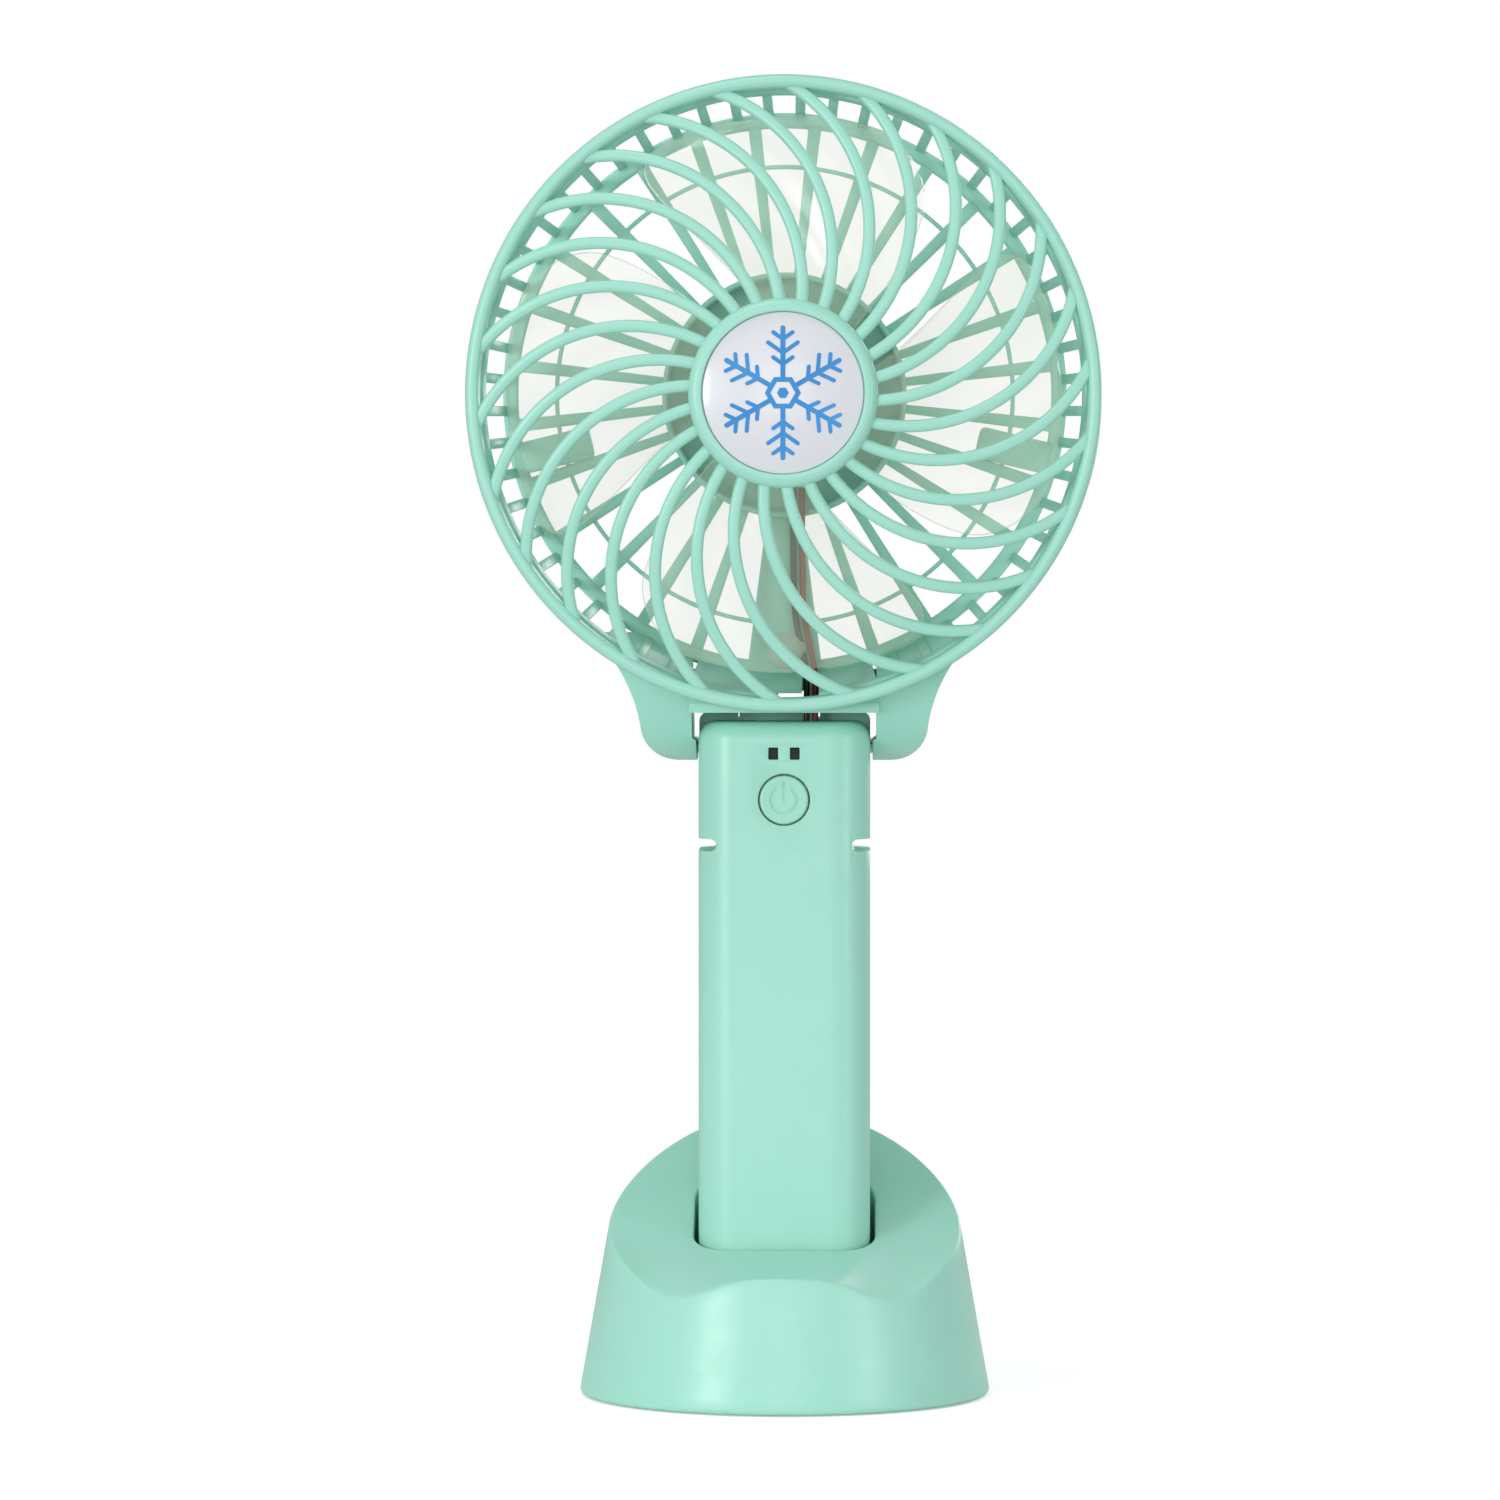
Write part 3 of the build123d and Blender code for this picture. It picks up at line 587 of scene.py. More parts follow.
def rib_section():
    """Across and depth of the bar's outline: a flattened round in front, nearly flat behind."""
    front = []
    for i in range(13):
        a = pi * i / 12
        lean = abs(cos(a)) ** 0.75 * (1 if cos(a) >= 0 else -1)
        front.append((RIB_HALF_WIDTH * lean, -0.95 * sin(a) ** 0.8))
    return front + [(-0.9, 0.8), (-0.7, 0.95), (0.7, 0.95), (0.9, 0.8)]


def rib_place(distance):
    """The middle of a rib at a distance from the axis, and the direction across it."""
    reach = RIB_ARC_CENTRE.length
    along = (distance**2 + reach**2 - RIB_ARC_R**2) / (2 * reach)
    sideways = sqrt(distance**2 - along**2)
    unit = RIB_ARC_CENTRE / reach
    middle = unit * along + Vector((unit.y, -unit.x)) * sideways
    return middle, (middle - RIB_ARC_CENTRE).normalized()


def make_rib():
    """One rib, extruded from inside the boss out into the ring."""
    rings = []
    for i in range(RIB_STATIONS + 1):
        distance = RIB_START_R + (RIB_END_R - RIB_START_R) * i / RIB_STATIONS
        middle, across = rib_place(distance)
        x, y, z = middle.x, dome_y(distance) + 0.95, HEAD_Z / MM + middle.y
        rings.append([(x + across.x * u, y + v, z + across.y * u) for u, v in rib_section()])
    return lofted("spiral_rib", rings)


spiral_rib = smooth(make_rib(), 60)
ribs = [spiral_rib] + [
    twin(spiral_rib, f"spiral_rib_{i}", clockwise(360 / RIB_COUNT * i)) for i in range(1, RIB_COUNT)
]
guard_front = joined("guard_front", [guard_ring, guard_boss, *ribs])
wear(guard_front, MINT)
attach(guard_front, "head")
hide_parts("front_guard")
print("front guard has", len(guard_front.data.polygons), "faces")

# %% [markdown]
# ## The rear guard
# The back is a shallow cage. A rim meets the front ring, short bars run back along its side, and a
# flat grille of straight spokes closes it. It is built from the same few turned rings and copied
# bars that its mould has. The strut under the hub is solid, because the motor's wires run on it.

# %% Rims, rings and cup
SEAM_Y = -17.0
BACK_Y = 1.2
BACK_FRONT_Y = -0.8
CAGE_FRONT_R = 49.6
CAGE_BACK_R = 46.0


def cage_radius(y):
    """The outside radius of the cage's tapered side."""
    return CAGE_FRONT_R + (CAGE_BACK_R - CAGE_FRONT_R) * (y - SEAM_Y) / (BACK_Y - SEAM_Y)


def ring_with_round_edges(name, inner_r, outer_r, front_y, back_y, edge, steps=192):
    """A flat ring with rounded edges."""
    corners = [
        arc((outer_r - edge, back_y - edge), edge, 0, 90, 3),
        arc((inner_r + edge, back_y - edge), edge, 90, 180, 3),
        arc((inner_r + edge, front_y + edge), edge, 180, 270, 3),
        arc((outer_r - edge, front_y + edge), edge, 270, 360, 3),
    ]
    return smooth(turned(name, sum(corners, []), steps=steps))


def side_strip(front_y, back_y, wall=1.0):
    """The outline of a strip of the cage's tapered side."""
    outer = [(cage_radius(y), y) for y in (front_y, back_y)]
    return outer + [(r - wall, y) for r, y in reversed(outer)]


cage_rim = turned("cage_rim", side_strip(SEAM_Y, -14.6), steps=192)
cage_rim = soften(cage_rim, 0.2 * MM, 2)
cage_band = ring_with_round_edges("cage_band", 43.6, 46.1, BACK_FRONT_Y, BACK_Y, 0.5)
middle_ring = ring_with_round_edges("middle_ring", 36.95, 37.65, -0.6, 0.55, 0.2)
CUP_OUTLINE = (
    [(0, BACK_FRONT_Y), (18.9, BACK_FRONT_Y), (18.9, -5.3)]
    + arc((19.45, -5.3), 0.5, 180, 360, 6)
    + [(20.0, 0.6)]
    + arc((19.4, 0.6), 0.6, 0, 90, 4)
    + [(16.5, BACK_Y), (16.2, 0.95), (15.8, 0.95), (15.5, BACK_Y), (0, BACK_Y)]
)
hub_cup = smooth(turned("hub_cup", CUP_OUTLINE, steps=96))

# %% Spokes and side bars
SPOKE_COUNT = 28
BAR_COUNT = 56
SOLID_HALF_ANGLE = 18.0


def head_plate(name, outline, front_y, back_y):
    """A plate whose outline is measured from the head's axis."""
    return plate(name, [(x, z + HEAD_Z / MM) for x, z in outline], front_y, back_y)


spoke = head_plate(
    "spoke", [(-0.72, 19.5), (0.72, 19.5), (1.08, 44.6), (-1.08, 44.6)], -0.72, 0.85
)
spoke = soften(spoke, 0.28 * MM, 2)
pitch = 360 / SPOKE_COUNT
turns = [pitch * (i + 0.5) for i in range(SPOKE_COUNT)]
spokes = [twin(spoke, f"spoke_{i}", clockwise(turn)) for i, turn in enumerate(turns)]
bpy.data.objects.remove(spoke)


def make_side_bar():
    """One bar of the cage's side, tapering with it, from the rim back to the band."""
    rings = []
    for y in (-15.2, -8.0, -0.4):
        outer = cage_radius(y) - 0.05
        inner = outer - 0.95
        corners = ((-0.82, inner), (0.82, inner), (0.82, outer), (-0.82, outer))
        rings.append([(x, y, HEAD_Z / MM + z) for x, z in corners])
    return soften(lofted("side_bar", rings), 0.22 * MM, 2)


side_bar = make_side_bar()
pitch = 360 / BAR_COUNT
turns = [pitch * (i + 0.5) for i in range(BAR_COUNT)]
turns = [turn for turn in turns if abs(turn - 180) > SOLID_HALF_ANGLE - 2]
side_bars = [twin(side_bar, f"side_bar_{i}", clockwise(turn)) for i, turn in enumerate(turns)]
bpy.data.objects.remove(side_bar)
print("spokes", len(spokes), "side bars", len(side_bars))

# %% Solid foot of the cage, strut and tabs
def part_turned(name, outline, start, end, steps):
    """An outline of (radius, Y) carried from one clockwise angle to another."""
    rings = []
    for i in range(steps + 1):
        a = radians(start + (end - start) * i / steps)
        rings.append([(r * sin(a), y, HEAD_Z / MM + r * cos(a)) for r, y in outline])
    return lofted(name, rings)


solid_foot = part_turned(
    "solid_foot", side_strip(-14.9, 0.9), 180 - SOLID_HALF_ANGLE, 180 + SOLID_HALF_ANGLE, 18
)
solid_foot = smooth(solid_foot)
strut = head_plate("strut", [(-2.9, -19.4), (2.9, -19.4), (5.3, -44.6), (-5.3, -44.6)], -0.76, 1.1)
strut = soften(strut, 0.3 * MM, 2)


def rounded_outline(half_x, half_z, corner, steps=6):
    """A rounded rectangle about the origin."""
    points = []
    for cx, cz, start in ((1, 1, 0), (-1, 1, 90), (-1, -1, 180), (1, -1, 270)):
        centre = (cx * (half_x - corner), cz * (half_z - corner))
        points += arc(centre, corner, start, start + 90, steps)
    return points


tab_outline = [(x, z + 38.3) for x, z in rounded_outline(2.6, 5.9, 1.0)]
tab = soften(head_plate("tab", tab_outline, -1.4, 1.0), 0.3 * MM, 2)
TAB_ANGLE = 103.5
tabs = [twin(tab, f"tab_{i}", clockwise(turn)) for i, turn in enumerate((TAB_ANGLE, -TAB_ANGLE))]
bpy.data.objects.remove(tab)

# %% [markdown]
# Two ears come down from the cage and hold the hinge pins, and a flat bridge joins them behind the
# front ring. An ear has one outline from the front and another from the side. Two plates with those
# outlines are laid across each other, and what they share is the ear. The inside of the cage is
# then cut out of it, and its edges are rounded as the mould leaves them.

# %% Ears and bridge
EAR_FRONT = (
    three_point_arc((31.5, 125.0), (25.3, 116.6), (23.4, 110.0), 12)
    + three_point_arc((23.4, 110.0), (21.8, 106.0), (17.4, 104.0), 10)[1:]
    + [(14.4, 104.0), (14.4, 107.5), (15.0, 107.8), (15.0, 125.0)]
)
EAR_SIDE = (
    [(-14.6, 126.0)]
    + three_point_arc((-14.6, 117.0), (-8.5, 108.8), (2.5, 104.0), 12)
    + three_point_arc((8.0, 104.0), (11.0, 105.6), (11.8, 109.0), 8)
    + three_point_arc((11.8, 109.0), (7.5, 115.5), (BACK_Y, 119.0), 10)[1:]
    + [(BACK_Y, 126.0)]
)


def cage_plug():
    """The space inside the cage, as a cone."""
    front_y, back_y = -22.0, 14.0
    front_r, back_r = [cage_radius(y) - 0.7 for y in (front_y, back_y)]
    outline = [(0, front_y), (front_r, front_y), (back_r, back_y), (0, back_y)]
    return turned("cage_plug", outline, steps=192)


ear = plate("ear", EAR_FRONT, -20, 20)
ear = keep_inside(ear, side_plate("ear_side", EAR_SIDE, 10, 40))
ear = cut_away(ear, cage_plug())
ear = soften(tidy_faces(ear, 1e-6), 0.5 * MM, 3, 40)
ear_left = twin(ear, "ear_left", Matrix.Scale(-1, 4, (1, 0, 0)))
bridge = block("bridge", (-15.4, 15.4), (-14.5, 1.1), (112.2, 113.8))
for name, y in (("bridge_front", (-14.4, -13.0)), ("bridge_back", (-0.4, 1.0))):
    fuse(bridge, block(name, (-15.3, 15.3), y, (112.9, 119.0)))
bridge = soften(cut_away(bridge, cage_plug()), 0.2 * MM, 2)
WIRE_SLOT = (2.7, 6.0), (-3.6, -1.0), (108.0, 119.0)
MOULD_SLOT = (-1.1, 3.5), (-18.0, 3.0), (114.3, 115.4)
WIRE_NOTCH = (2.9, 5.7), (-18.0, -1.0), (114.3, 119.3)
for part in (bridge, solid_foot, cage_rim):
    for limits in (WIRE_SLOT, MOULD_SLOT, WIRE_NOTCH):
        cut_away(part, block("slot_cutter", *limits))
MOTOR_SCREW_PLACES = (-8.0, 8.0)
cup_gap = (0.4, 4.0), (-6.0, -0.79), (HEAD_Z / MM - 21, HEAD_Z / MM - 18)
hub_cup = cut_away(hub_cup, block("cup_cutter", *cup_gap))
for x in MOTOR_SCREW_PLACES:
    hole = rod("screw_cutter", 1.9, (x, 0.3, HEAD_Z / MM), (x, 2.0, HEAD_Z / MM), 32)
    hub_cup = cut_away(hub_cup, hole)

guard_rear = joined(
    "guard_rear",
    [cage_rim, cage_band, middle_ring, hub_cup, solid_foot, strut, ear, ear_left, bridge]
    + tabs + spokes + side_bars,
)
wear(guard_rear, MINT)
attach(guard_rear, "head")
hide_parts("rear_guard")
print("rear guard has", len(guard_rear.data.polygons), "faces")

# %% [markdown]
# ## The badge
# A thin pale disc sits in the boss, a little below its rim. Its print is a plain six-armed snow
# crystal, drawn here as flat bars laid on the disc. One arm is fused from its bars and turned round.

# %% Badge disc
BADGE_FACE_Y = -28.55
BADGE_OUTLINE = [
    (0, -28.0), (12.9, -28.0), (12.95, -28.2), (12.9, -28.45), (12.75, BADGE_FACE_Y), (0, BADGE_FACE_Y)
]
badge_plate = smooth(turned("badge_plate", BADGE_OUTLINE, steps=96))
badge_paint, shader = new_finish("badge_lacquer")
set_inputs(shader, Coat_Weight=0.4, Coat_Roughness=0.1)
mottle(badge_paint, shader, (0.745, 0.765, 0.815, 1.0), (0.770, 0.790, 0.840, 1.0), 160.0)
mottle(badge_paint, shader, grey(0.30), grey(0.38), 500.0, socket="Roughness")
grain(badge_paint, shader, 4000.0, 0.15, 0.00001)
wear(badge_plate, badge_paint)
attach(badge_plate, "head")
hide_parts("badge_disc")


# %% Snow crystal
PRINT_FRONT_Y = -28.60
PRINT_BACK_Y = -28.50
ARM_TURNS = [60 * i for i in range(6)]


def bar_outline(start, end, width):
    """A flat bar with rounded ends between two points."""
    run = Vector(end) - Vector(start)
    lean = degrees(atan2(run.y, run.x))
    return arc(end, width / 2, lean - 90, lean + 90, 6) + arc(start, width / 2, lean + 90, lean + 270, 6)


def print_bar(name, start, end, width=0.8):
    """One printed bar of the crystal."""
    return head_plate(name, bar_outline(start, end, width), PRINT_FRONT_Y, PRINT_BACK_Y)


crystal_arm = print_bar("crystal_arm", (0, 2.6), (0, 10.4))
for root_z, length in ((4.6, 1.9), (6.4, 2.9), (8.6, 1.9)):
    for side in (-1, 1):
        tip = (side * length * sin(radians(55)), root_z + length * cos(radians(55)))
        fuse(crystal_arm, print_bar("branch", (0, root_z), tip, 0.65))
hexagon = head_plate("hexagon", arc((0, 0), 2.9, 0, 300, 5), PRINT_FRONT_Y, PRINT_BACK_Y)
hexagon = cut_away(hexagon, head_plate("hexagon_hole", arc((0, 0), 2.0, 0, 300, 5), -29, -28))
core = head_plate("crystal_core", arc((0, 0), 0.95, 0, 300, 5), PRINT_FRONT_Y, PRINT_BACK_Y)
arms = [twin(crystal_arm, f"crystal_arm_{turn}", clockwise(turn)) for turn in ARM_TURNS]
bpy.data.objects.remove(crystal_arm)
hexagon = fuse(hexagon, *arms)
snow_crystal = joined("snow_crystal", [hexagon, core])
ink, shader = new_finish("crystal_ink")
mottle(ink, shader, (0.012, 0.235, 0.640, 1.0), (0.030, 0.300, 0.690, 1.0), 120.0)
mottle(ink, shader, grey(0.35), grey(0.45), 500.0, socket="Roughness")
wear(snow_crystal, ink)
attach(snow_crystal, "head")

# %% [markdown]
# ## The impeller
# Four thin blades sweep round a hub, all moulded in clear plastic with a slight cream haze. A blade
# starts as a flat grid. Each of its points is then sent to a radius and an angle, with its depth
# sloping from the back edge to the front edge, which twists the sheet like a propeller's.

# %% One blade
HUB_R = 14.3
TIP_R = 44.6
BLADE_FRONT_Y = -19.3
BLADE_BACK_Y = -7.5
BLADE_THICKNESS = 1.0


def corner_turn(radius, corner):
    """How many degrees a rounded corner at the tip takes off an edge."""
    share = max(0.0, 1 - (TIP_R - radius) / corner)
    return degrees(corner * (1 - sqrt(1 - min(1.0, share) ** 2)) / radius)


def blade_edges(radius):
    """Where the right-hand blade starts and ends at a radius, in degrees clockwise from up."""
    reach = (radius - 14.0) / (TIP_R - 14.0)
    first = 57 + 19 * max(0.0, 1 - reach) ** 2.2 + corner_turn(radius, 4.5)
    last = 137 - 10 * reach - 6 * max(0.0, reach) ** 4 - corner_turn(radius, 8.0)
    return first, last


def blade_point(out, across):
    """A point of the blade's middle sheet, from how far out and how far across it is (0 to 1)."""
    radius = HUB_R - 0.5 + (TIP_R - HUB_R + 0.5) * sin(pi / 2 * out)
    first, last = blade_edges(radius)
    angle = radians(first + (last - first) * across)
    y = BLADE_BACK_Y + (BLADE_FRONT_Y - BLADE_BACK_Y) * (across + 0.1 * sin(pi * across))
    return Vector((radius * sin(angle), y, HEAD_Z / MM + radius * cos(angle))) * MM


def make_blade():
    """One blade, bent from a flat grid and given its thickness."""
    let_go()
    bpy.ops.mesh.primitive_grid_add(x_subdivisions=30, y_subdivisions=26, size=1)
    blade = named("blade")
    for vertex in blade.data.vertices:
        vertex.co = blade_point(vertex.co.x + 0.5, vertex.co.y + 0.5)
    apply_modifier(blade, "SOLIDIFY", thickness=BLADE_THICKNESS * MM, offset=0.0)
    tidy_faces(blade, 1e-6)
    return soften(blade, 0.3 * MM, 3, 50)


blade = make_blade()
blades = [twin(blade, f"blade_{i}", clockwise(90 * i)) for i in range(4)]
bpy.data.objects.remove(blade)

# %% Hub and clear finish
HUB_OUTLINE = (
    [(1.02, -21.2), (1.9, -21.9), (12.4, -21.9)]
    + arc((12.8, -20.5), 1.45, 270, 360, 6)
    + [(14.3, -8.1), (13.2, -8.1), (13.1, -19.6), (12.6, -20.3), (2.6, -20.4), (2.6, -17.2), (1.02, -17.2)]
)
hub = smooth(turned("hub", HUB_OUTLINE, steps=96))
clear_impeller = joined("clear_impeller", [hub, *blades])


def clear_plastic(name, colour_low, colour_high, face, rim):
    """Clear plastic: nearly see-through face on, and milkier where it is seen along its skin."""
    finish, shader = new_finish(name)
    set_inputs(shader, IOR=1.47, Coat_Weight=0.3, Coat_Roughness=0.06)
    mottle(finish, shader, colour_low, colour_high, 60.0)
    mottle(finish, shader, grey(0.10), grey(0.18), 300.0, socket="Roughness")
    tree = finish.node_tree
    facing = tree.nodes.new("ShaderNodeLayerWeight")
    facing.inputs["Blend"].default_value = 0.28
    amount = tree.nodes.new("ShaderNodeMapRange")
    amount.inputs["To Min"].default_value = face
    amount.inputs["To Max"].default_value = rim
    tree.links.new(facing.outputs["Facing"], amount.inputs["Value"])
    tree.links.new(amount.outputs["Result"], shader.inputs["Alpha"])
    grain(finish, shader, 900.0, 0.08, 0.00003)
    return finish


CLEAR = clear_plastic("clear_blade", (0.96, 0.95, 0.78, 1.0), (0.98, 0.97, 0.83, 1.0), 0.12, 0.70)
wear(clear_impeller, CLEAR)
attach(clear_impeller, "impeller")
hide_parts("impeller")

# %% [markdown]
# ## The handle
# The handle is a rounded tube that comes apart into a front and a back half. It is extruded ring by
# ring, each ring a rounded rectangle that draws in at the top and bottom edges. The hollow, the
# slots and the windows are cut out, and a block then keeps one half of the tube. The back half is
# a little taller, so that it fills the gap under the bridge.

# %% Handle tube
HANDLE_LOW_Z = 4.4
FRONT_TOP_Z = 110.6
BACK_TOP_Z = 111.9
HALF_WIDTH = 14.0
HALF_DEPTH = 12.0
CORNER_R = 6.6
FRONT_TOP_EDGE_R = 2.8
BACK_TOP_EDGE_R = 1.4
BOTTOM_EDGE_R = 1.5
WALL = 1.8
NOTCH_Z = 90.5
BUTTON_Z = 98.0
LIGHT_Z = 105.5
LIGHT_X = 1.75
PORT_Z = 98.0
HANDLE_SCREWS = [(7.5, 77.5), (-7.5, 77.5), (0.0, 86.0)]


def handle_ring(inset, z):
    """The handle's section at a height, drawn in by an inset."""
    outline = rounded_outline(HALF_WIDTH - inset, HALF_DEPTH - inset, CORNER_R - inset, 9)
    return [(x, y, z) for x, y in outline]


def handle_blank(top_z, top_edge, inset=0.0):
    """The outside of the handle as one closed body, or that body made smaller all round."""
    rings = []
    for i in range(7):
        a = pi / 2 * i / 6
        draw = BOTTOM_EDGE_R * (1 - sin(a)) + inset
        rings.append(handle_ring(draw, HANDLE_LOW_Z + BOTTOM_EDGE_R * (1 - cos(a))))
    rings += [handle_ring(inset, z) for z in (30, 60, 85, 95)]
    for i in range(10):
        a = pi / 2 * i / 9
        rings.append(handle_ring(top_edge * (1 - cos(a)) + inset, top_z - top_edge * (1 - sin(a))))
    return lofted("handle_blank", rings)


def handle_tube(top_z, top_edge):
    """The hollow tube with a notch in each side, each notch closed off by its own walls."""
    hollow = lofted("handle_hollow", [handle_ring(WALL, z) for z in (HANDLE_LOW_Z + WALL, top_z - WALL)])
    tube = cut_away(handle_blank(top_z, top_edge), hollow)
    for side in (-1, 1):
        reach = sorted((side * 9.4, side * 15.0))
        pocket = block("pocket", reach, (-15, 15), (NOTCH_Z - 2.6, NOTCH_Z + 2.6))
        tube = fuse(tube, keep_inside(pocket, handle_blank(top_z, top_edge, 0.3)))
        notch = [(side * x, z) for x, z in arc((12.0, NOTCH_Z), 1.0, 90, 270, 8)]
        notch += [(side * 15.0, NOTCH_Z - 1.0), (side * 15.0, NOTCH_Z + 1.0)]
        tube = cut_away(tube, plate("notch", notch if side > 0 else notch[::-1], -13, 13))
    return tube


# %% Front half
front_half = handle_tube(FRONT_TOP_Z, FRONT_TOP_EDGE_R)
front_half = keep_inside(front_half, block("front_space", (-20, 20), (-20, 0), (0, 120)))
front_half.name = "front_half"
front_half = cut_away(front_half, rod("button_hole", 4.25, (0, -14, BUTTON_Z), (0, -9, BUTTON_Z), 64))
for x in (-LIGHT_X, LIGHT_X):
    window = plate("window", [(x + u, LIGHT_Z + v) for u, v in rounded_outline(0.8, 1.0, 0.15, 2)], -14, -9)
    front_half = cut_away(front_half, window)
port = side_plate("port", [(y - 4.6, z + PORT_Z) for y, z in rounded_outline(1.7, 4.1, 0.8, 4)], 10, 16)
front_half = cut_away(front_half, port, block("wire_exit", (2.8, 5.8), (-4.0, -0.6), (108, 113)))
front_half = soften(front_half, 0.14 * MM, 2, 40)
wear(front_half, MINT)
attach(front_half, "handle")
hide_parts("handle_front_shell")

# %% Back half
back_half = handle_tube(BACK_TOP_Z, BACK_TOP_EDGE_R)
back_half = keep_inside(back_half, block("back_space", (-20, 20), (0, 20), (0, 120)))
back_half.name = "back_half"
for side in (-1, 1):
    start, end = [(side * x, HINGE[1] / MM, HINGE[2] / MM) for x in (9.6, 12.6)]
    back_half = fuse(back_half, rod("boss", 3.0, start, end))
for side in (-1, 1):
    start, end = [(side * x, HINGE[1] / MM, HINGE[2] / MM) for x in (9.0, 15.0)]
    back_half = cut_away(back_half, rod("pin_hole", 1.3, start, end, 32))
for x, z in HANDLE_SCREWS:
    back_half = fuse(back_half, rod("screw_boss", 3.2, (x, 8, z), (x, 11, z), 40))
    back_half = cut_away(back_half, rod("screw_hole", 2.1, (x, 9.5, z), (x, 14, z), 40))
    back_half = cut_away(back_half, rod("shaft_hole", 1.1, (x, 5, z), (x, 10, z), 24))
for x in (-7.6, 5.6):
    back_half = cut_away(back_half, block("seam", (x - 0.18, x + 0.18), (-0.1, 13), (110.9, 113)))
back_half = soften(back_half, 0.14 * MM, 2, 40)
wear(back_half, MINT)
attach(back_half, "handle")
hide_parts("handle_rear_shell")

# %% [markdown]
# ## The power button
# A round cap with a slightly dished face stands in its hole with a thin gap all round. The usual
# power sign, a broken ring and a bar, is pressed a little way into it.

# %% Button cap
BUTTON_CENTRE = (0.0, 0.0, BUTTON_Z * MM)
CAP_OUTLINE = (
    [(0, -12.20), (1.8, -12.22), (3.0, -12.30)]
    + three_point_arc((3.35, -12.37), (3.78, -12.3), (3.93, -12.0), 5)
    + [(3.93, -10.05), (4.85, -10.05), (4.85, -9.4), (0, -9.4)]
)
cap = turned("button_cap", CAP_OUTLINE, steps=96, centre=BUTTON_CENTRE)
SIGN_R = 2.1
SIGN_WIDTH = 0.52
sign_ring = arc((0, BUTTON_Z), SIGN_R + SIGN_WIDTH / 2, 125, 415, 40)
sign_ring += arc((0, BUTTON_Z), SIGN_R - SIGN_WIDTH / 2, 415, 125, 40)
sign_bar = bar_outline((0, BUTTON_Z - 0.1), (0, BUTTON_Z + 2.75), SIGN_WIDTH)
for name, outline in (("sign_ring", sign_ring), ("sign_bar", sign_bar)):
    cap = cut_away(cap, plate(name, outline, -13.0, -12.02))
cap = smooth(cap)
wear(cap, MINT)
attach(cap, "button")
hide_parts("power_button")

# %% [markdown]
# ## The desk base
# The base is a cone whose top slopes up to the back, with a hump in the middle of its front edge. A
# formula gives the height of the top, so the rim of the cone is found for each direction, and the
# skin is extruded as one ring after another: up the cone, over the rim, across the top to the
# socket, and down into it. The rim and the socket's mouth are then bevelled.

# %% Shape of the top
DIRECTIONS = 192
BASE_FOOT_R = 33.6
BASE_TAPER = 0.177


def base_radius(z):
    """The outside radius of the cone at a height."""
    return BASE_FOOT_R - BASE_TAPER * (z - 1.0)


def base_top(x, y):
    """The height of the top over a place. Its front edge dips to each side of the middle."""
    nearness = (hypot(x, y) / 29.0) ** 4 / (1 + exp(y / 3.0))
    spread = 11.0 if abs(x) < 18.5 else 8.0
    dips = 4.1 * exp(-(((abs(x) - 18.5) / spread) ** 2)) + 1.0 * exp(-((x / 6.0) ** 2))
    return 29.0 + 0.416 * y + 0.00747 * y**2 - nearness * dips


def rim_point(a):
    """Where the top meets the cone in a direction."""
    radius = 29.0
    for _ in range(40):
        radius += 0.5 * (base_radius(base_top(radius * cos(a), radius * sin(a))) - radius)
    return radius * cos(a), radius * sin(a)


def socket_point(a, half_x=14.8, half_y=12.8, corner=7.4):
    """Where the rounded socket's wall is in a direction."""
    low, high = 0.0, 40.0
    for _ in range(40):
        r = (low + high) / 2
        dx = max(0.0, abs(r * cos(a)) - (half_x - corner))
        dy = max(0.0, abs(r * sin(a)) - (half_y - corner))
        low, high = (r, high) if hypot(dx, dy) < corner else (low, r)
    return low * cos(a), low * sin(a)


ANGLES = [2 * pi * i / DIRECTIONS for i in range(DIRECTIONS)]
RIM = [rim_point(a) for a in ANGLES]
SOCKET = [socket_point(a) for a in ANGLES]
rim_heights = [base_top(x, y) for x, y in RIM]
print("rim from", round(min(rim_heights), 1), "to", round(max(rim_heights), 1), "mm high")


# %% Skin of the base
def circle_ring(radius, z):
    """A level ring."""
    return [(radius * cos(a), radius * sin(a), z) for a in ANGLES]


def cone_ring(share):
    """A ring on the cone, part of the way from its foot to the rim."""
    ring = []
    for a, (x, y) in zip(ANGLES, RIM):
        z = 1.4 + (base_top(x, y) - 1.4) * share
        ring.append((base_radius(z) * cos(a), base_radius(z) * sin(a), z))
    return ring


def top_ring(share):
    """A ring on the top, part of the way from the rim to the socket."""
    ring = []
    for (x0, y0), (x1, y1) in zip(RIM, SOCKET):
        x, y = x0 + (x1 - x0) * share, y0 + (y1 - y0) * share
        ring.append((x, y, base_top(x, y)))
    return ring


EDGE_R = 0.9
BOTTOM_Z = 0.2
SOCKET_FLOOR_Z = 4.2
RECESS = ((31.15, 2.75), (31.3, 2.8), (31.3, 0.45), (31.6, BOTTOM_Z))
rings = [circle_ring(radius, z) for radius, z in RECESS]
for i in range(7):
    a = pi / 2 * i / 6
    rings.append(circle_ring(base_radius(1.1) - EDGE_R + EDGE_R * sin(a), BOTTOM_Z + EDGE_R * (1 - cos(a))))
rings += [cone_ring(i / 10) for i in range(1, 11)]
rings += [top_ring(i / 14) for i in range(1, 15)]
rings += [[(x, y, z) for x, y in SOCKET] for z in (12.0, SOCKET_FLOOR_Z)]
base_body = lofted("base_body", rings)


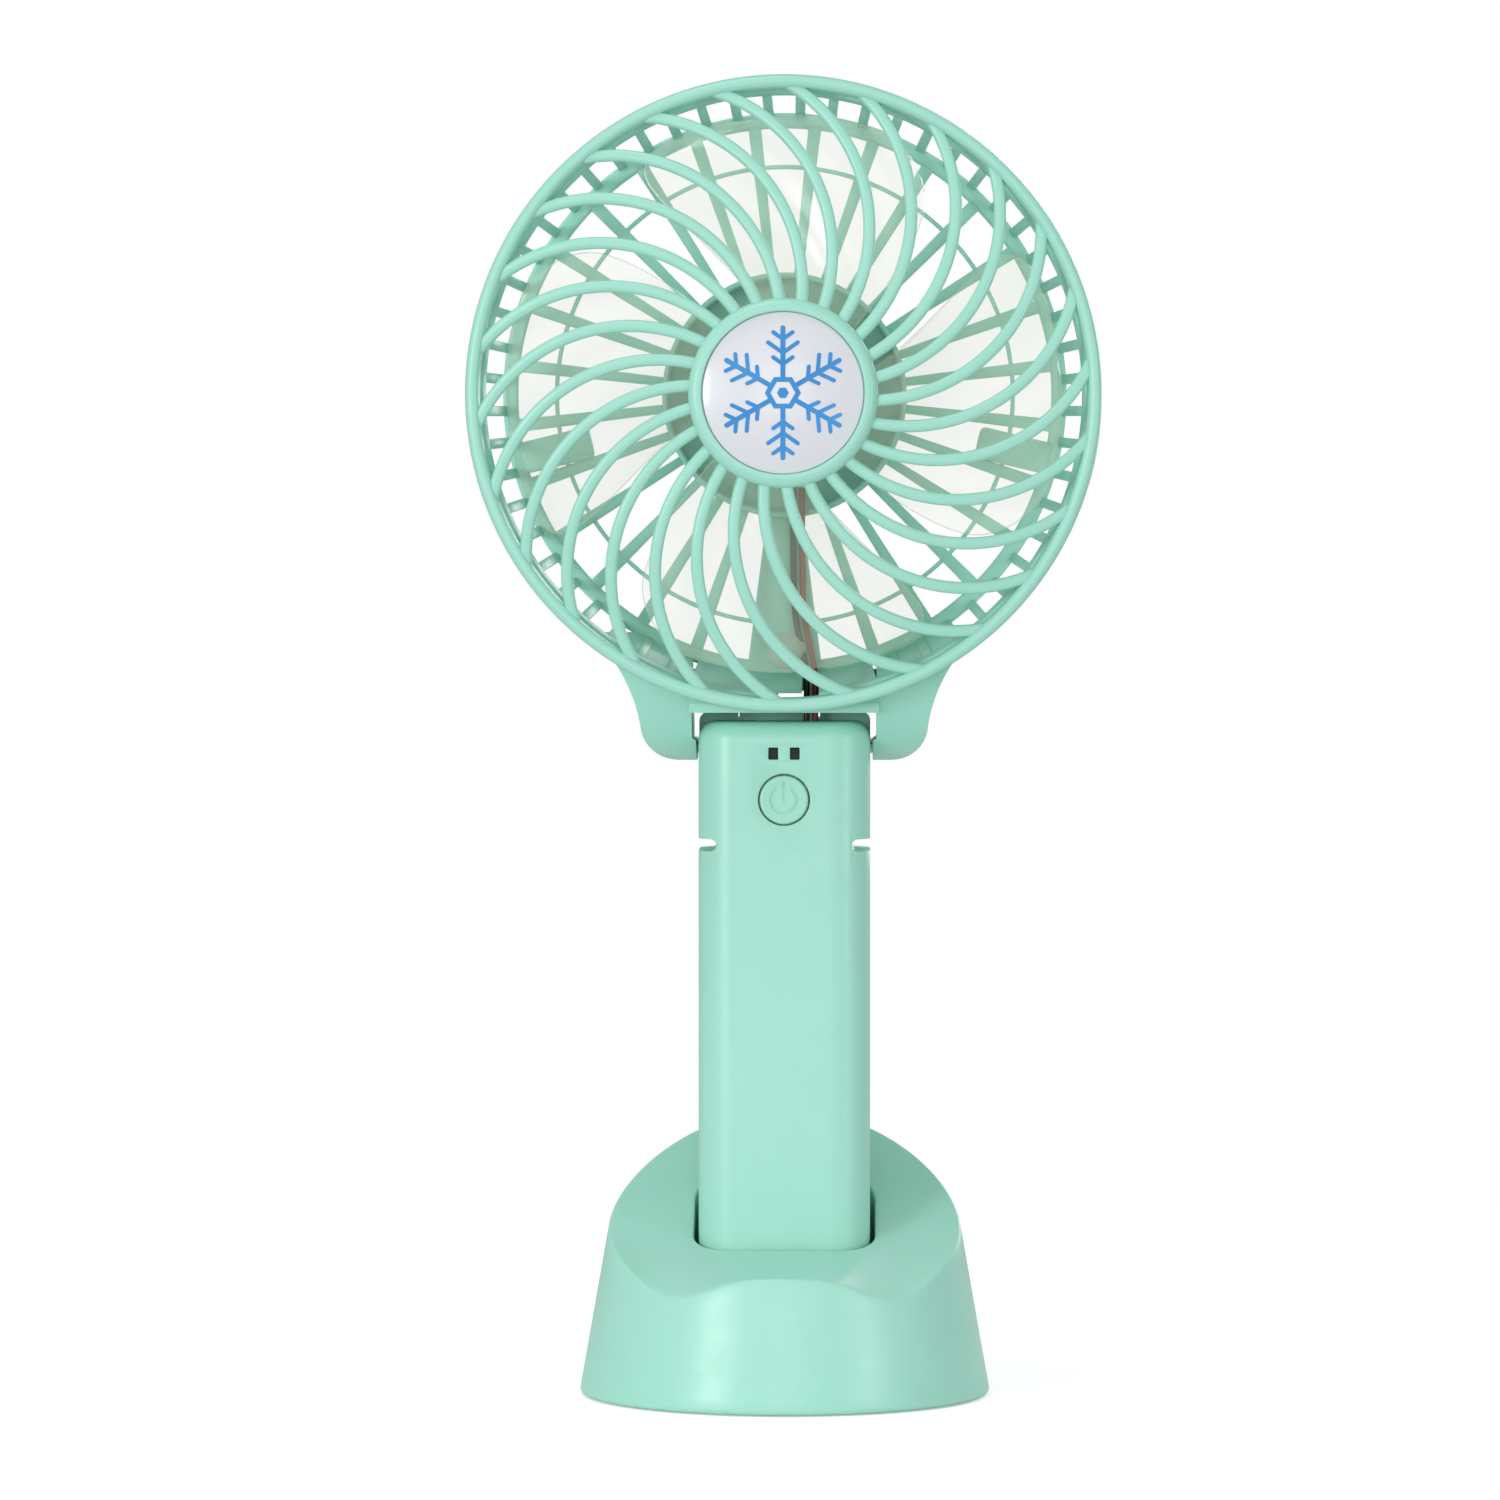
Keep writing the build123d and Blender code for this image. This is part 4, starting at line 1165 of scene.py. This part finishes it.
def near_line(point, line_radius):
    """Whether a point of the mesh lies on the top, at a radius from the middle."""
    x, y, z = point / MM
    return abs(hypot(x, y) - line_radius) < 0.08 and abs(z - base_top(x, y)) < 0.08


def on_rim(a, b):
    """Whether an edge lies along the rim."""
    return all(near_line(point, base_radius(point.z / MM)) for point in (a, b))


def on_mouth(a, b):
    """Whether an edge lies along the mouth of the socket."""
    return all(near_line(point, hypot(*socket_point(atan2(point.y, point.x)))) for point in (a, b))


for rule, width in ((on_rim, 0.5), (on_mouth, 0.4)):
    count = pick_edges(base_body, rule)
    bpy.ops.mesh.bevel(offset=width * MM, segments=4, affect="EDGES")
    bpy.ops.object.mode_set(mode="OBJECT")
    print(rule.__name__, "edges bevelled:", count)
smooth(base_body, 30)
wear(base_body, MINT)
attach(base_body, "base")
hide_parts("base_shell")

# %% [markdown]
# ## Screws
# All the screws are small cross-head ones. One is turned with its head towards +Y, a cross is cut
# into its head, and copies of it are carried to the handle, the motor and the base.

# %% One screw
def cross_screw(name, head_r, head_height, shaft_r, shaft_length):
    """A pan-head screw at the origin, its head's underside at Y = 0 and its shaft towards -Y."""
    outline = three_point_arc(
        (0.0, head_height), (head_r * 0.62, head_height * 0.86), (head_r, head_height * 0.30), 8
    )
    outline += [(head_r, 0.0), (shaft_r, 0.0), (shaft_r, 0.3 - shaft_length)]
    outline += [(shaft_r * 0.5, -shaft_length), (0.0, -shaft_length)]
    screw = turned(name, outline, steps=48, centre=(0, 0, 0))
    arm, half, depth = head_r * 0.62, head_r * 0.14, (head_height * 0.35, 3)
    cross = [block("cross", (-x, x), depth, (-z, z)) for x, z in ((arm, half), (half, arm))]
    return smooth(cut_away(screw, *cross), 30)


def place_screws(name, screw, places, turn):
    """Copies of a screw, each turned and then moved to a place in millimetres."""
    copies = []
    for i, place in enumerate(places):
        move = Matrix.Translation(Vector(place) * MM)
        copies.append(twin(screw, f"{name}_{i}", move @ turn))
    bpy.data.objects.remove(screw)
    return joined(name, copies)


BASE_SCREW_R = 25
BASE_SCREW_TURNS = [radians(a) for a in (90, 210, 330)]
STEEL = plain("bright_steel", (0.60, 0.60, 0.61), 0.28, metallic=1.0, scale=900.0, bump=0.00001)
SCREW_SETS = (
    ("handle_screw_set", "handle_screws", "handle", cross_screw("screw", 1.9, 1.35, 1.0, 15.0),
     [(x, 9.5, z) for x, z in HANDLE_SCREWS], Matrix.Identity(4)),
    ("motor_screw_set", "motor_screws", "head", cross_screw("screw", 1.8, 0.85, 0.88, 2.7),
     [(x, 0.3, HEAD_Z / MM) for x in MOTOR_SCREW_PLACES], Matrix.Identity(4)),
    ("base_screw_set", "base_screws", "base", cross_screw("screw", 2.0, 0.9, 1.0, 7.5),
     [(BASE_SCREW_R * cos(a), BASE_SCREW_R * sin(a), 2.0) for a in BASE_SCREW_TURNS],
     Matrix.Rotation(radians(-90), 4, "X")),
)
for name, node, body, screw, places, turn in SCREW_SETS:
    screws = place_screws(name, screw, places, turn)
    wear(screws, STEEL)
    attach(screws, body)
    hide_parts(node)

# %% [markdown]
# ## Wires and glue
# Two thin wires come down the strut from the motor, under a blob of hot glue, and go through the
# bridge into the handle. The solid model stops them on each side of the hinge. The short lengths
# that cross it are made here.

# %% Wires across the hinge
WIRE_R = 0.5
WIRE_Y = -2.2
WIRE_LOW_Z = 110.5
WIRE_HIGH_Z = 113.1
WIRE_STATIONS = 40
BLACK_WIRE = plain("black_vinyl", (0.018, 0.020, 0.022), 0.38, scale=800.0)
RED_WIRE = plain("red_vinyl", (0.30, 0.022, 0.018), 0.38, scale=800.0)


def hinge_wire(name, x, finish):
    """A thin tube with many rings along its length."""
    rings = []
    for i in range(WIRE_STATIONS + 1):
        z = WIRE_LOW_Z + (WIRE_HIGH_Z - WIRE_LOW_Z) * i / WIRE_STATIONS
        rings.append([(x + u, WIRE_Y + v, z) for u, v in arc((0, 0), WIRE_R * 0.98, 0, 330, 11)])
    wire = smooth(lofted(name, rings), 60)
    wear(wire, finish)
    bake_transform(wire)


hinge_wire("hinge_wire_black", 3.6, BLACK_WIRE)
hinge_wire("hinge_wire_red", 5.0, RED_WIRE)

# %% Glue blob
let_go()
bpy.ops.mesh.primitive_uv_sphere_add(segments=40, ring_count=24, radius=1)
glue = named("glue_blob")
for vertex in glue.data.vertices:
    x, y, z = vertex.co
    lump = 1 + 0.07 * sin(3.1 * x + 1.0) * cos(2.7 * z) + 0.05 * sin(5.0 * z + 2.0 * x)
    place = Vector((0.4 + 3.4 * x * lump, -1.5 + 1.5 * y * lump, 122.1 + 3.0 * z * lump))
    place.y = min(place.y, -0.78)
    vertex.co = place * MM
done(glue)
smooth(glue, 60)
GLUE = clear_plastic("cloudy_glue", (0.80, 0.88, 0.84, 1.0), (0.90, 0.95, 0.92, 1.0), 0.42, 0.85)
wear(glue, GLUE)
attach(glue, "head")
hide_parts("wire_glue")

# %% [markdown]
# ## Finishes of the solids that stay
# The parts inside keep their solid shapes, since those are already right. Each gets the finish of
# what it is: shrink wrap on the cell, solder mask on the board, plated contacts, and rubber feet.
# The lenses of the lights are the exception: their near-black colour is painted shade.

# %% Finishes for the inside
RUBBER = plain("foot_rubber", (0.035, 0.036, 0.038), 0.75, spread=0.15, scale=600.0, bump=0.00003)
BLACK = plain("black_moulding", (0.025, 0.026, 0.028), 0.5, scale=500.0, bump=0.00002)
WRAP = plain("cell_wrap", (0.03, 0.13, 0.42), 0.22, scale=150.0, bump=0.00002)
CONTACT = plain("plated_contact", (0.74, 0.60, 0.32), 0.25, metallic=1.0, scale=700.0)
BOARD = plain("solder_mask", (0.012, 0.16, 0.055), 0.3, spread=0.2, scale=900.0, bump=0.00001)
# The light lenses are near black: painted shade, the dark that lies behind the handle's two windows.
LENS_PAINTED_SHADE = plain("lens_painted_shade", (0.003, 0.010, 0.006), 0.45, spread=0.3, scale=900.0)
FERRITE = plain("ferrite", (0.05, 0.05, 0.055), 0.6, spread=0.15, scale=900.0, bump=0.00002)
ROTOR = plain("rotor_iron", (0.28, 0.28, 0.30), 0.45, metallic=0.8, scale=900.0)
INSIDE = {
    "base_plate": (MINT, "mint_plastic"), "base_feet": (RUBBER, "foot_rubber"),
    "battery_cell": (WRAP, "cell_wrap"), "battery_contact_plate": (CONTACT, "contact_brass"),
    "battery_spring_leaf": (CONTACT, "contact_brass"), "circuit_board": (BOARD, "board_green"),
    "tact_switch": (BLACK, "black_plastic"), "switch_plunger": (BLACK, "black_plastic"),
    "indicator_leds": (LENS_PAINTED_SHADE, "led_lens"), "usb_socket": (STEEL, "screw_steel"),
    "handle_wire_black": (BLACK_WIRE, "wire_black"), "handle_wire_red": (RED_WIRE, "wire_red"),
    "head_wire_black": (BLACK_WIRE, "wire_black"), "head_wire_red": (RED_WIRE, "wire_red"),
    "hinge_pins": (STEEL, "screw_steel"), "motor_case": (STEEL, "screw_steel"),
    "motor_end_cap": (BLACK, "black_plastic"), "motor_terminals": (CONTACT, "contact_brass"),
    "motor_magnets": (FERRITE, "magnet_grey"), "motor_rotor": (ROTOR, "rotor_steel"),
    "motor_shaft": (STEEL, "screw_steel"),
}
for name, (finish, slot_name) in INSIDE.items():
    node = NODES[name]
    node.data.materials.clear()
    node.data.materials.append(finish)
    smooth(node, 30)
print("solids kept:", len(INSIDE))

# %% [markdown]
# ## The last line
# The finished fan must fill the same space as its solid model. The last cell lets go of every selection.

# %% The last line
let_go()
